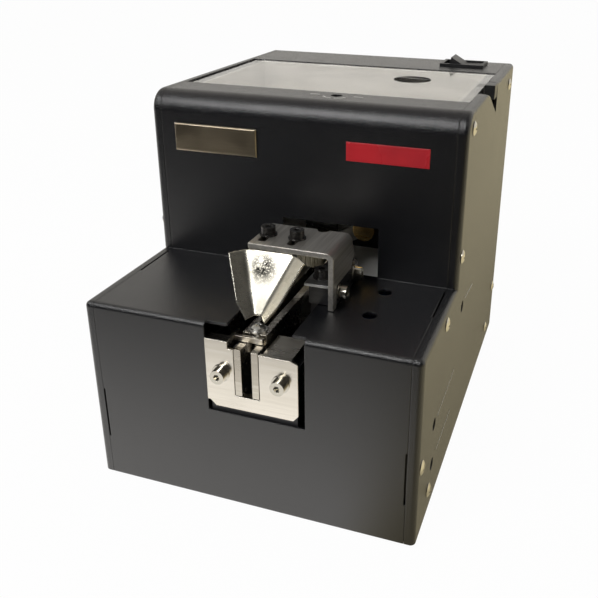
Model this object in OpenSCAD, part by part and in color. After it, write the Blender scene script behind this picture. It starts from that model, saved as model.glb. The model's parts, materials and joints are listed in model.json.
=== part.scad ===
// Automatic screw feeder, in millimetres, +Z up, front towards -Y.
// Screws tipped in under the clear lid are lifted by a scoop onto a slotted rail, wiped into
// one row by a swinging brush, and shaken forward to the pick-up point under the bit guide.
// The origin is under the middle of the feeder, at the level that its feet stand on.

/* [Housing] */
// Width over the side panels
body_w = 130; // [126:1:150]
// Depth from the front face to the rear face
body_d = 182; // [178:1:200]
// Height of the housing above its base
body_h = 145; // [142:1:160]
// Height of the front platform above the base
platform_h = 76.5; // [76:0.25:78]
// Depth of the front platform
platform_d = 57; // [55:0.5:58]
// Thickness of the painted sheet metal
sheet_t = 1.2; // [0.8:0.1:1.5]
// Outer radius of the bend above the tall front face
top_bend_r = 8; // [5:0.5:10]
// Outer radius of the folds round the side panels
fold_r = 2; // [1.6:0.1:2.5]
// Width of the side panels' folded lips
lip_w = 4; // [3.5:0.5:5]
// Width of the hidden flanges behind the side panels
flange_w = 10; // [9:0.5:10.5]
// Height of the rubber feet
foot_h = 2; // [1:0.5:6]
// Radius of the rubber feet
foot_r = 7; // [5:0.5:9]
// Radius of the housing screws' shanks
panel_screw_r = 1.5; // [1.2:0.1:1.6]

/* [Lid and hopper] */
// Distance of the lid opening from the front face
lid_y = 79; // [78:0.5:80]
// Length of the lid opening along Y
lid_len = 69; // [66:1:72]
// Thickness of the clear lid
lid_t = 3; // [2.5:0.25:3.5]
// Radius of the finger hole in the lid
finger_r = 8.25; // [6:0.25:9]
// Radius of the lid's hinge pins
lid_pin_r = 0.8; // [0.6:0.1:1]
// Half width of the hopper
hopper_half_w = 56.5; // [54:0.5:57]
// Thickness of the hopper's sheet
hopper_t = 1.5; // [1:0.1:2]
// Width of the scoop
scoop_w = 35; // [32:1:38]
// Height that the scoop lifts the screws
scoop_lift = 16; // [12:1:16]

/* [Rail] */
// Place of the rail's slot along X
rail_x = 1.1; // [0.5:0.1:2]
// Width of the rail's slot
rail_slot = 4.1; // [4:0.1:4.4]
// Thickness of each rail plate
rail_t = 2.6; // [2:0.1:2.8]
// Length of the rail
rail_len = 138; // [130:1:140]
// Height of the rail's running face above the base
rail_top = 71; // [70:0.25:72]
// Height of the rail's front end above the base
rail_lip = 68; // [67.5:0.25:68.5]
// Length of the lowered front end
rail_lip_len = 8; // [7:0.25:9]
// Height of the rail's lower edge above the base
rail_foot = 49; // [48:0.5:50]
// Travel of the vibrating rail each way
shake = 0.4; // [0.2:0.1:0.5]
// Radius of the rods that the rail shakes on
rod_r = 2; // [1.5:0.1:2.5]

/* [Front plate and bit guide] */
// Width of the lower front notch to the left of the rail
notch_left = 16.1; // [15:0.1:17]
// Width of the lower front notch to the right of the rail
notch_right = 22.2; // [21:0.1:23]
// Height of the notch's lower edge above the base
notch_z = 40.4; // [38:0.2:41]
// Thickness of the nickel front plate
front_t = 1.2; // [0.8:0.1:1.5]
// Thickness of the bit guide's sheet
guide_t = 0.9; // [0.6:0.1:1.2]
// Half width of the bit guide's middle face at its top
guide_half_w = 9.7; // [9:0.1:11]
// Height of the bit guide's top edge above the base
guide_top = 96.5; // [95:0.1:97]
// Thickness of the bit guide's bracket
bracket_t = 2; // [1.5:0.1:2.5]
// Half length of the bracket's adjusting slots
slot_half = 5; // [4:0.5:6]

/* [Drive] */
// Module of the scoop drive's gears
gear_module = 0.8; // [0.8:0.05:0.9]
// Number of teeth of the drive gear
gear_teeth = 40; // [38:1:41]
// Number of teeth of the motor pinion
pinion_teeth = 12; // [12:1:14]
// Radius of the crank shaft
crank_shaft_r = 2.5; // [2:0.1:3]
// Distance between the scoop link's eyes
link_len = 20; // [19:0.5:20]
// Radius of the motor's can
motor_r = 10; // [8:0.5:11]

/* [Controls] */
// Radius of the trimmer knobs
trimmer_r = 2.2; // [1.8:0.1:2.3]
// Length of the switch bezel along X
switch_l = 21; // [20:0.5:24]
// Width of the switch bezel along Y
switch_w = 15; // [14:0.5:17]
// Tilt of the rocker at rest
rocker_tilt = 14; // [10:1:15]
// Radius of the power inlet's bore
jack_r = 3.2; // [2.8:0.1:3.5]

/* [Hidden] */
$fn = 48;

// Clearances
run_gap = 0.05;    // a shaft in its bore, on the radius
slide_gap = 0.3;   // pieces that pass each other
seam_gap = 0.15;   // sheets that meet at a seam
rub_gap = 0.1;     // a lid on its rim, a head beside a panel

// Housing
side_x = body_w / 2;
inner_x = side_x - sheet_t;
seam_x = side_x - lip_w;
base_t = 1.6;
lid_end_y = lid_y + lid_len;
tower_y = platform_d + sheet_t;
rear_y = body_d - sheet_t;
chamber_flange = 12;
foot_inset = 15;
foot_y = [foot_inset, body_d - foot_inset];

// Middle of the tall front face's window and its size
window_x = [rail_x - 9.1, rail_x + 31.4];
window_top = platform_h + 21;
platform_slot_x = [rail_x - 8.1, rail_x + 16.9];
relief_w = 0.8;
platform_holes = [[38.7, 25.5], [38.8, 45.8]];
platform_hole_r = 2.75;

// Screws of a side panel as [y, z], and the trimmer holes of the right one
panel_screws = [[platform_d + 10, body_h - 7], [platform_d + 4, platform_h + 12.5],
                [37.4, platform_h - 5.1], [5, 31.3], [19.7, 9.8], [body_d - 25, 9.4],
                [body_d - 9, 26.5], [body_d - 14, body_h - 8]];
trimmer_spots = [[platform_d + 13.7, 62.9], [24.1, 36.5], [23.9, 18.7]];
head_r = 2.75;
head_h = 1.2;

// Lid
lid_drop = 0.4;
lid_top = body_h - lid_drop;
lid_bottom = lid_top - lid_t;
lid_half_w = seam_x - 0.5;
lid_axis_x = -(lid_half_w - lid_t / 2);
lid_axis_z = lid_top - lid_t / 2;
pin_depth = 6;
finger_spot = [28, lid_y + 42.3];
pull_y = [lid_y + 38, lid_y + 46];
pull_drop = 2.5;

// Hopper and scoop
rim_z = lid_bottom - rub_gap;
floor_edge_z = 76;
skirt_top_z = 58;
skirt_z = 51.5;
channel_half_w = scoop_w / 2 + 0.5;
scoop_y = [lid_y + hopper_t + 0.7, lid_end_y - hopper_t - 0.7];
scoop_slot_half = rail_slot / 2 + rail_t + 0.6;
scoop_bottom = 28;
scoop_web_top = 32;
scoop_crest = 59;
scoop_dip = 55.5;
scoop_rod_top = 54;
scoop_rod_spots = [[rail_x - 11, lid_y + 16], [rail_x + 11, lid_y + 52]];

// Rail
rail_seat_y = 14;
carriage_half_w = 12.5;
carriage_h = 13;
carriage_end_y = lid_y - 3;
rear_rail_foot = rail_foot + 2;
rod_z = rail_foot - carriage_h / 2 - 0.5;
rod_spread = 8;
pedestal_t = 3.7;
front_post_y = 9;
rear_post_y = [lid_y - 2, lid_y - 2 + pedestal_t];

// Crank drive
crank_r = scoop_lift / 2;
crank_y = lid_y + 34;
crank_z = 21;
link_top_z = crank_z - crank_r + link_len;
link_t = 1.8;
scoop_side_x = rail_x - scoop_w / 2;
link_x = scoop_side_x - 2.4 - link_t;
link_pin_r = 1.5;
crank_pin_l = 1;
crank_disc_t = 3;
crank_disc_x = link_x - slide_gap - crank_pin_l - crank_disc_t;
bracket_plate_t = 1.5;
drive_plates = [-side_x + 6.5, -side_x + 15, crank_disc_x - 3.5];
gear_x = drive_plates[0] + bracket_plate_t + 1;
gear_w = 4;
gear_gap = gear_module * (gear_teeth + pinion_teeth) / 2;
motor_y = crank_y + gear_gap;
motor_shaft_r = 1.5;
motor_l = 28;

// Front plate, in (x, z)
plate_left = rail_x - 16.1;
plate_right = rail_x + 19.7;
plate_gap_half = rail_slot / 2 + rail_t + slide_gap;
plate_bottom = notch_z + 2.6;
left_ear_top = rail_top - 0.5;
right_top = rail_top - 3.6;
plate_screws = [[rail_x - 10.2, 57.2], [rail_x + 13.1, 57.4]];
m3_r = 1.5;
socket_head_r = 2.75;
socket_head_h = 3;
washer_r = 3.4;
washer_t = 0.5;

// Bit guide: the left half's corners as [x from the rail, y, z]
guide_top_y = 23.6;
guide_foot_half = 1.25;
guide_foot = [11, guide_top - 19.7];
wing_tip = [guide_half_w + 5, guide_top_y - 4.3, guide_top - 0.4];
wing_kink = [guide_half_w - 1.6, 10.5, guide_top - 15.2];
wing_toe = [3.6, 8.3, guide_top - 20.7];

// Guide bracket
bracket_top = guide_top + 0.7 + bracket_t;
bracket_x = [rail_x - 8.7, rail_x + 24.5];
bracket_y = [guide_top_y - 0.4, 45];
bracket_leg_x = bracket_x[1] - bracket_t;
bracket_bend_r = 3;
slot_x = [rail_x - 5, rail_x + 6.6];
slot_y = 33.5;
leg_w = 3.5;
holder_x = rail_x + carriage_half_w + 1;
holder_y = [bracket_y[0] + leg_w + 0.5, 54];
holder_z = platform_h + slide_gap;
holder_top = guide_top - 11.1;
holder_screw_spot = [rail_x + 17.5, 30.5];
clamp_x = bracket_x[1] - 0.6;
clamp_bolt_spots = [[31, holder_top - 4.2], [49, holder_top - 4.2]];

// Brush
brush_axis = [25, 94.5];
brush_shaft_r = 2.5;
brush_y = [62, 68];
brush_tip_z = rail_top + 3.4;

// Pass gate
gate_y = lid_y - 0.2 - 1.6;
gate_lock_spot = [rail_x + 8, lid_y - 5.7];
gate_lock_r = 2;
gate_block_z = [104, 118];

// Control board
board_x = side_x - 10;
board_t = 1.6;
board_y = [13.5, lid_y - 1];
trimmer_body = 7;
trimmer_body_x = side_x - 4;

// Switch and inlet
switch_x = 42.5;
switch_y = lid_end_y + 19.5;
bezel_t = 1.3;
rocker_z = body_h - 4;
rocker_half = 7.2;
well_l = switch_l - 2.8;
well_w = switch_w - 3;
jack_spot = [-35, 25];
jack_proud = washer_t + socket_head_h;

// Moves into the housing's frame: origin at the middle of the lower front edge
module in_housing() translate([0, -body_d / 2, foot_h]) children();

// Extrudes a side view, drawn in (y, z), along X
module along_x(x0, x1) translate([x0, 0, 0]) rotate([90, 0, 90]) linear_extrude(x1 - x0) children();

// Extrudes a front view, drawn in (x, z), along Y
module along_y(y0, y1) translate([0, y1, 0]) rotate([90, 0, 0]) linear_extrude(y1 - y0) children();

module box(low, high) translate(low) cube(high - low);

module rod_x(x0, x1, y, z, r) translate([x0, y, z]) rotate([0, 90, 0]) cylinder(r = r, h = x1 - x0);

module rod_y(x, y0, y1, z, r) translate([x, y0, z]) rotate([-90, 0, 0]) cylinder(r = r, h = y1 - y0);

module rod_z(x, y, z0, z1, r) translate([x, y, z0]) cylinder(r = r, h = z1 - z0);

// A rectangle standing on z0 with its two upper corners rounded
module block_view(y0, y1, z0, z1, r_front, r_rear) {
  low = max(r_front, r_rear);
  translate([y0, z0]) square([y1 - y0, z1 - low - z0]);
  translate([y0 + r_front, z0]) square([y1 - y0 - r_front - r_rear, z1 - z0]);
  if (r_front > 0) translate([y0 + r_front, z1 - r_front]) circle(r_front);
  if (r_rear > 0) translate([y1 - r_rear, z1 - r_rear]) circle(r_rear);
  if (r_rear < low) translate([y1 - low, z0]) square([low, z1 - r_rear - z0]);
}

// Side view of the housing in (y, z), inset by i all round and standing on z0
module side_view(i, z0 = 0) {
  edge_r = max(fold_r - i, 0);
  block_view(i, platform_d + top_bend_r + i, z0, platform_h - i, edge_r, 0);
  block_view(platform_d + i, body_d - i, z0, body_h - i, max(top_bend_r - i, 0), edge_r);
}

// The part of the housing's skin between insets i0 and i1 and between two depths
module skin_view(i0, i1, y0, y1) intersection() {
  difference() {
    side_view(i0);
    side_view(i1, -1);
  }
  translate([y0, -1]) square([y1 - y0, body_h + 2]);
}

// A shell that spans the width: its skin, the seats behind the panel lips and the flanges
module wrapped_shell(y0, y1) {
  along_x(-seam_x + seam_gap, seam_x - seam_gap) skin_view(0, sheet_t, y0, y1);
  for (side = [-1, 1]) scale([side, 1, 1]) {
    along_x(seam_x - lip_w / 2, inner_x) skin_view(sheet_t, 2 * sheet_t, y0, y1);
    along_x(inner_x - sheet_t, inner_x) skin_view(sheet_t, sheet_t + flange_w, y0, y1);
  }
}

// Holes along X for the panel screws, on both sides
module panel_screw_holes(r) {
  for (spot = panel_screws) rod_x(-side_x - 1, side_x + 1, spot[0], spot[1], r);
}

module front_shell() color([0.05, 0.05, 0.06]) in_housing() difference() {
  union() {
    wrapped_shell(-1, lid_y);
    box([-seam_x + seam_gap, lid_y - sheet_t, body_h - chamber_flange],
        [seam_x - seam_gap, lid_y, body_h - sheet_t / 2]);
  }
  // Notch in the lower front, slot in the platform and window in the tall face
  box([rail_x - notch_left, -1, notch_z], [rail_x + notch_right, 2 * sheet_t + 0.1, platform_h + 1]);
  box([platform_slot_x[0], 0, platform_h - 2 * sheet_t - 1],
      [platform_slot_x[1], tower_y + 0.1, platform_h + 1]);
  box([window_x[0], platform_d - 1, platform_h], [window_x[1], tower_y + 1, window_top]);
  // Relief slots at the seams
  for (side = [-1, 1]) scale([side, 1, 1]) {
    box([seam_x - relief_w, -1, 17.5], [seam_x, sheet_t + 0.5, 39.5]);
    box([seam_x - relief_w, 31.6, platform_h - sheet_t - 0.5], [seam_x, platform_d - 3, platform_h + 1]);
  }
  for (spot = platform_holes) rod_z(spot[0], spot[1], platform_h - 5, platform_h + 1, platform_hole_r);
  rod_z(gate_lock_spot[0], gate_lock_spot[1], body_h - 5, body_h + 1, gate_lock_r + 0.25);
  rod_y(lid_axis_x, lid_y - 5, lid_y + 1, lid_axis_z, lid_pin_r);
  panel_screw_holes(panel_screw_r);
}

module rear_cover() color([0.05, 0.05, 0.06]) in_housing() difference() {
  union() {
    wrapped_shell(lid_end_y, body_d + 1);
    box([-seam_x + seam_gap, lid_end_y, body_h - chamber_flange],
        [seam_x - seam_gap, lid_end_y + sheet_t, body_h - sheet_t / 2]);
  }
  box([switch_x - well_l / 2 - 0.6, switch_y - well_w / 2 - 0.6, body_h - 5],
      [switch_x + well_l / 2 + 0.6, switch_y + well_w / 2 + 0.6, body_h + 1]);
  rod_y(jack_spot[0], rear_y - 1, body_d + 1, jack_spot[1], 5.5 + slide_gap);
  rod_y(lid_axis_x, lid_end_y - 1, lid_end_y + 5, lid_axis_z, lid_pin_r);
  panel_screw_holes(panel_screw_r);
}

// The right side panel's outer form, with its folded edges
module panel_form() {
  x = side_x - fold_r;
  top = body_h - fold_r;
  bend_y = platform_d + top_bend_r;
  along_x(seam_x, x) side_view(0);
  along_x(seam_x, side_x) side_view(fold_r);
  rod_z(x, fold_r, 0, platform_h - fold_r, fold_r);
  translate([x, fold_r, platform_h - fold_r]) sphere(fold_r);
  rod_y(x, fold_r, platform_d + fold_r, platform_h - fold_r, fold_r);
  rod_z(x, platform_d + fold_r, platform_h - 2 * fold_r, body_h - top_bend_r, fold_r);
  translate([x, bend_y, body_h - top_bend_r]) rotate([90, 0, 90]) rotate([0, 0, 90])
    rotate_extrude(angle = 90) translate([top_bend_r - fold_r, 0]) circle(fold_r);
  rod_y(x, bend_y, body_d - fold_r, top, fold_r);
  translate([x, body_d - fold_r, top]) sphere(fold_r);
  rod_z(x, body_d - fold_r, 0, top, fold_r);
}

module side_panel() difference() {
  panel_form();
  along_x(seam_x - 1, inner_x) side_view(sheet_t, -1);
  panel_screw_holes(panel_screw_r);
}

module left_panel() color([0.05, 0.05, 0.06]) in_housing() scale([-1, 1, 1]) side_panel();

module right_panel() color([0.05, 0.05, 0.06]) in_housing() difference() {
  side_panel();
  for (spot = trimmer_spots) rod_x(inner_x - 1, side_x + 1, spot[0], spot[1], trimmer_r + slide_gap);
  // Slanted finger notch beside the lid
  along_x(seam_x - 1, side_x + 1)
    polygon([[lid_y + 18, body_h + 1], [lid_y + 18, body_h], [lid_y + 24, body_h - 1.8],
             [lid_y + 31, body_h - 5.2], [lid_y + 45.4, body_h - 12.5], [lid_y + 47, body_h - 13],
             [lid_y + 47, body_h + 1]]);
}

module base_plate() color([0.62, 0.63, 0.64]) in_housing() {
  floor_half_w = inner_x - sheet_t - seam_gap;
  end_half_w = seam_x - lip_w / 2 - seam_gap;
  wing_y = [sheet_t + flange_w + seam_gap, rear_y - flange_w - seam_gap];
  box([-end_half_w, sheet_t + seam_gap, 0], [end_half_w, rear_y - seam_gap, base_t]);
  box([-floor_half_w, 2 * sheet_t + seam_gap, 0],
      [floor_half_w, rear_y - sheet_t - seam_gap, base_t]);
  difference() {
    for (side = [-1, 1]) scale([side, 1, 1]) {
      box([floor_half_w - 1, wing_y[0], 0], [inner_x, wing_y[1], base_t]);
      box([inner_x - base_t, wing_y[0], 0], [inner_x, wing_y[1], 14]);
    }
    panel_screw_holes(panel_screw_r);
  }
}

module rubber_feet() color([0.07, 0.07, 0.07]) in_housing()
  for (x = [-side_x + foot_inset, side_x - foot_inset], y = foot_y)
    translate([x, y, -foot_h]) {
      cylinder(r1 = foot_r - 1, r2 = foot_r, h = foot_h / 2);
      translate([0, 0, foot_h / 2]) cylinder(r = foot_r, h = foot_h / 2);
    }

// A pan head on the right-hand side panel at x = side_x, with its shank and cross recess
module panel_screw(y, z) translate([side_x, y, z]) rotate([0, 90, 0]) {
  difference() {
    intersection() {
      cylinder(r = head_r, h = head_h);
      translate([0, 0, head_h - 4.4]) sphere(4.4);
    }
    for (turn = [0, 90]) rotate([0, 0, turn]) translate([-1.5, -0.3, head_h - 0.7]) cube([3, 0.6, 1]);
  }
  translate([0, 0, -5]) cylinder(r = panel_screw_r, h = 5.1);
}

module left_panel_screws() color([0.8, 0.8, 0.8]) in_housing() scale([-1, 1, 1])
  for (spot = panel_screws) panel_screw(spot[0], spot[1]);

module right_panel_screws() color([0.8, 0.8, 0.8]) in_housing()
  for (spot = panel_screws) panel_screw(spot[0], spot[1]);

// Clear lid: its left edge is rounded about the hinge line, so it turns inside the opening
module lid() color([0.75, 0.72, 0.68, 0.5]) in_housing() difference() {
  union() {
    box([lid_axis_x, lid_y + 0.4, lid_bottom], [lid_half_w, lid_end_y - 0.4, lid_top]);
    rod_y(lid_axis_x, lid_y + 0.4, lid_end_y - 0.4, lid_axis_z, lid_t / 2);
  }
  rod_z(finger_spot[0], finger_spot[1], lid_bottom - 1, lid_top + 1, finger_r);
  rod_y(lid_axis_x, lid_y - 1, lid_y + pin_depth + 0.2, lid_axis_z, lid_pin_r + run_gap);
  rod_y(lid_axis_x, lid_end_y - pin_depth - 0.2, lid_end_y + 1, lid_axis_z, lid_pin_r + run_gap);
}

module lid_pull() color([0.06, 0.06, 0.06]) in_housing() {
  box([hopper_half_w + 0.6, pull_y[0], lid_bottom - pull_drop], [side_x, pull_y[1], lid_bottom]);
  box([lid_half_w + slide_gap, pull_y[0], lid_bottom - pull_drop], [side_x, pull_y[1], body_h]);
}

module lid_hinge_pins() color([0.75, 0.75, 0.75]) in_housing() {
  rod_y(lid_axis_x, lid_y - sheet_t, lid_y + pin_depth, lid_axis_z, lid_pin_r);
  rod_y(lid_axis_x, lid_end_y - pin_depth, lid_end_y + sheet_t, lid_axis_z, lid_pin_r);
}

// One side of the hopper as a bent sheet in (x, z); side is -1 or 1
module hopper_side_view(side) {
  edge = rail_x + side * channel_half_w;
  wall = side * hopper_half_w;
  polygon([[wall, rim_z], [wall - side * hopper_t, rim_z], [wall - side * hopper_t, floor_edge_z],
           [edge, skirt_top_z], [edge, skirt_z], [edge + side * hopper_t, skirt_z],
           [edge + side * hopper_t, skirt_top_z - hopper_t], [wall, floor_edge_z - hopper_t]]);
}

module hopper_end_view() polygon([
  [-hopper_half_w, rim_z], [-hopper_half_w, floor_edge_z - hopper_t],
  [rail_x - channel_half_w - hopper_t, skirt_top_z - hopper_t],
  [rail_x - channel_half_w - hopper_t, skirt_z], [rail_x + channel_half_w + hopper_t, skirt_z],
  [rail_x + channel_half_w + hopper_t, skirt_top_z - hopper_t],
  [hopper_half_w, floor_edge_z - hopper_t], [hopper_half_w, rim_z]]);

module hopper() color([0.55, 0.56, 0.58]) in_housing() {
  for (side = [-1, 1]) along_y(lid_y, lid_end_y) hopper_side_view(side);
  along_y(lid_end_y - hopper_t, lid_end_y) hopper_end_view();
  // The front wall leaves a way out for the rail and its row of screws
  along_y(lid_y, lid_y + hopper_t) difference() {
    hopper_end_view();
    translate([rail_x - scoop_slot_half - 1, skirt_z - 1])
      square([2 * scoop_slot_half + 2, rail_top + 18 - skirt_z]);
  }
}

module scoop() color([0.2, 0.35, 0.62]) in_housing() {
  half = scoop_w / 2;
  difference() {
    along_y(scoop_y[0], scoop_y[1]) translate([rail_x, 0])
      polygon([[-half, scoop_bottom], [half, scoop_bottom], [half, scoop_crest],
               [scoop_slot_half, scoop_dip], [scoop_slot_half, scoop_web_top],
               [-scoop_slot_half, scoop_web_top], [-scoop_slot_half, scoop_dip],
               [-half, scoop_crest]]);
    for (spot = scoop_rod_spots) rod_z(spot[0], spot[1], scoop_bottom - 1, scoop_rod_top + 0.5, rod_r + run_gap);
  }
  rod_x(link_x, scoop_side_x + 1, crank_y, link_top_z, link_pin_r);
}

module scoop_guide_rods() color([0.8, 0.8, 0.8]) in_housing()
  for (spot = scoop_rod_spots) rod_z(spot[0], spot[1], base_t, scoop_rod_top, rod_r);

// Link from the scoop down to the crank; its lower eye runs beside the crank pin's end
module scoop_link() color([0.7, 0.7, 0.72]) in_housing() difference() {
  union() {
    rod_x(link_x, link_x + link_t, crank_y, link_top_z, link_pin_r + 2);
    rod_x(link_x, link_x + link_t, crank_y, link_top_z - link_len, link_pin_r + 2);
    box([link_x, crank_y - 2.2, link_top_z - link_len], [link_x + link_t, crank_y + 2.2, link_top_z]);
  }
  rod_x(link_x - 1, link_x + link_t + 1, crank_y, link_top_z, link_pin_r + run_gap);
  rod_x(link_x - 1, link_x + link_t + 1, crank_y, link_top_z - link_len, link_pin_r + run_gap);
}

// Crank disc with its pin at the bottom of the stroke, on the crank shaft
module crank() color([0.75, 0.75, 0.76]) in_housing() {
  rod_x(crank_disc_x, crank_disc_x + crank_disc_t, crank_y, crank_z, crank_r + link_pin_r + 1.5);
  rod_x(crank_disc_x, crank_disc_x + crank_disc_t + crank_pin_l, crank_y, crank_z - crank_r, link_pin_r);
  rod_x(drive_plates[0], crank_disc_x + 1, crank_y, crank_z, crank_shaft_r);
}

// Angle, in degrees, that an involute from base circle rb has turned by at radius r
function involute_turn(rb, r) = let (a = acos(min(1, rb / r))) tan(a) * 180 / PI - a;

// Outline of an involute gear with a tooth on the +X axis
module gear_view(teeth, addendum, backlash) {
  pitch_r = gear_module * teeth / 2;
  rb = pitch_r * cos(20);
  root_r = pitch_r - 1.1 * gear_module;
  tip_r = pitch_r + addendum;
  start_r = max(rb, root_r);
  half = 90 / teeth - backlash / pitch_r * 45 / PI + involute_turn(rb, pitch_r);
  steps = 4;
  flank = [for (k = [0:steps]) let (r = start_r + (tip_r - start_r) * k / steps)
           [r, half - involute_turn(rb, r)]];
  low = [root_r, half];
  side = concat([low], flank);
  polygon([for (t = [0:teeth - 1]) each concat(
    [for (p = side) p[0] * [cos(t * 360 / teeth - p[1]), sin(t * 360 / teeth - p[1])]],
    [for (k = [len(side) - 1:-1:0]) let (p = side[k])
      p[0] * [cos(t * 360 / teeth + p[1]), sin(t * 360 / teeth + p[1])]])]);
}

module drive_gear() color([0.9, 0.88, 0.8]) in_housing() translate([0, crank_y, crank_z])
  difference() {
    union() {
      along_x(gear_x, gear_x + gear_w) gear_view(gear_teeth, 0.75 * gear_module, 0.06);
      rod_x(gear_x, drive_plates[1] - slide_gap, 0, 0, crank_shaft_r + 2.5);
    }
    rod_x(gear_x - 1, drive_plates[1], 0, 0, crank_shaft_r);
    for (k = [0:5]) rotate([60 * k, 0, 0]) rod_x(gear_x - 1, gear_x + gear_w + 1, 9.5, 0, 2.6);
  }

module motor_pinion() color([0.85, 0.7, 0.35]) in_housing() translate([0, motor_y, crank_z]) {
  along_x(gear_x, gear_x + gear_w) rotate(180 / pinion_teeth) gear_view(pinion_teeth, gear_module, 0.06);
  rod_x(gear_x - 0.5, drive_plates[1] + bracket_plate_t + 3, 0, 0, motor_shaft_r);
}

module gear_motor() color([0.6, 0.6, 0.62]) in_housing() {
  x0 = drive_plates[1] + bracket_plate_t;
  difference() {
    union() {
      rod_x(x0, x0 + 11, motor_y, crank_z, motor_r);
      rod_x(x0 + 11, x0 + motor_l, motor_y, crank_z, motor_r - 1);
    }
    rod_x(x0 - 1, x0 + 3.2, motor_y, crank_z, motor_shaft_r + run_gap);
  }
}

module drive_bracket() color([0.6, 0.61, 0.62]) in_housing() difference() {
  y0 = crank_y - 13;
  union() {
    box([drive_plates[0], y0, base_t], [drive_plates[2] + bracket_plate_t, crank_y + 8, base_t + bracket_plate_t]);
    for (x = drive_plates) box([x, y0, base_t], [x + bracket_plate_t, crank_y + 8, crank_z + 10]);
    box([drive_plates[1], y0, base_t], [drive_plates[1] + bracket_plate_t, motor_y + motor_r, crank_z + 12]);
  }
  rod_x(drive_plates[0] - 1, crank_disc_x, crank_y, crank_z, crank_shaft_r + run_gap);
  rod_x(drive_plates[1] - 1, drive_plates[1] + 3, motor_y, crank_z, motor_shaft_r + 1);
}

// Side view of a rail plate: lowered at the pick-up end, shallower inside the hopper
module rail_view() polygon([
  [0, rail_foot], [0, rail_lip], [rail_lip_len, rail_lip], [rail_lip_len, rail_top],
  [rail_len, rail_top], [rail_len, rear_rail_foot], [lid_y - 2, rear_rail_foot],
  [lid_y - 4, rail_foot]]);

module rail_left() color([0.86, 0.83, 0.76]) in_housing() difference() {
  along_x(rail_x - rail_slot / 2 - rail_t, rail_x - rail_slot / 2) rail_view();
  rod_x(rail_x - rail_slot / 2 - rail_t - 1, rail_x, 3.4, rail_lip - 2, 1);
}

module rail_right() color([0.86, 0.83, 0.76]) in_housing()
  along_x(rail_x + rail_slot / 2, rail_x + rail_slot / 2 + rail_t) rail_view();

module rail_carriage() color([0.1, 0.1, 0.1]) in_housing() {
  rail_half = rail_slot / 2 + rail_t;
  difference() {
    box([rail_x - carriage_half_w, rail_seat_y, rail_foot - carriage_h],
        [rail_x + carriage_half_w, carriage_end_y, rail_foot]);
    for (side = [-1, 1])
      rod_y(rail_x + side * rod_spread, rail_seat_y - 1, carriage_end_y + 1, rod_z, rod_r + run_gap);
  }
  box([rail_x - carriage_half_w, 40, rail_foot - 1], [rail_x - rail_half, 72, rail_foot + 9]);
  box([rail_x + rail_half, 40, rail_foot - 1], [rail_x + carriage_half_w, 72, rail_foot + 9]);
}

module rail_guide_rods() color([0.8, 0.8, 0.8]) in_housing()
  for (side = [-1, 1]) rod_y(rail_x + side * rod_spread, 3, rear_post_y[1], rod_z, rod_r);

module rail_pedestals() color([0.09, 0.09, 0.09]) in_housing() difference() {
  union() {
    box([plate_left + 1, front_t, base_t],
        [plate_right - 0.8, front_post_y, rail_foot - 0.4 - front_t - seam_gap]);
    box([plate_left + 1, front_t, base_t], [rail_x - plate_gap_half - 1.3, front_post_y, left_ear_top - 6]);
    box([rail_x + plate_gap_half + 1.3, front_t, base_t], [plate_right - 0.8, front_post_y, right_top - 4]);
    box([rail_x - carriage_half_w, rear_post_y[0], base_t],
        [rail_x + carriage_half_w, rear_post_y[1], rail_foot - 2]);
  }
  for (side = [-1, 1]) rod_y(rail_x + side * rod_spread, 3, lid_y + 5, rod_z, rod_r);
  for (spot = plate_screws) rod_y(spot[0], 0, 8, spot[1], m3_r);
}

// Electromagnet that shakes the rail through the armature
module vibration_magnet() color([0.55, 0.3, 0.15]) in_housing() {
  box([rail_x - 8, 36, base_t], [rail_x + 8, 60, base_t + 4]);
  box([rail_x - 6, 36, base_t + 3], [rail_x + 6, 40, 30]);
  rod_y(rail_x, 39, 61, 20, 4);
  rod_y(rail_x, 42, 58, 20, 8.5);
}

module armature() color([0.45, 0.45, 0.46]) in_housing()
  box([rail_x - 8, 62, 11], [rail_x + 8, 65, rail_foot - carriage_h]);

module pickup_sensor() color([0.1, 0.1, 0.11]) in_housing() {
  x = rail_x - rail_slot / 2 - rail_t;
  box([x - 1.2, 2.2, 56], [x, 12, rail_lip - 0.5]);
  rod_x(x - 0.5, rail_x - rail_slot / 2 - 0.2, 3.4, rail_lip - 2, 1);
}

module fed_screw() color([0.82, 0.82, 0.8]) in_housing() translate([rail_x, rail_lip_len + 3, rail_top]) {
  cylinder(r = 3.4, h = 0.7);
  difference() {
    intersection() {
      cylinder(r = 2.7, h = 2.5);
      translate([0, 0, -1.9]) sphere(4.4);
    }
    for (turn = [0, 90]) rotate([0, 0, turn]) translate([-1.4, -0.3, 1.2]) cube([2.8, 0.6, 2]);
  }
  translate([0, 0, -9]) cylinder(r = 1.5, h = 9.1);
  translate([0, 0, -11]) cylinder(r1 = 0.4, r2 = 1.5, h = 2);
}

module stopper() color([0.8, 0.74, 0.6]) in_housing()
  box([plate_left + 8.9, rail_lip_len - 2.4, rail_lip + 0.4],
      [rail_x + rail_slot / 2 + 2, rail_lip_len - 0.8, left_ear_top - 0.1]);

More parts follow.
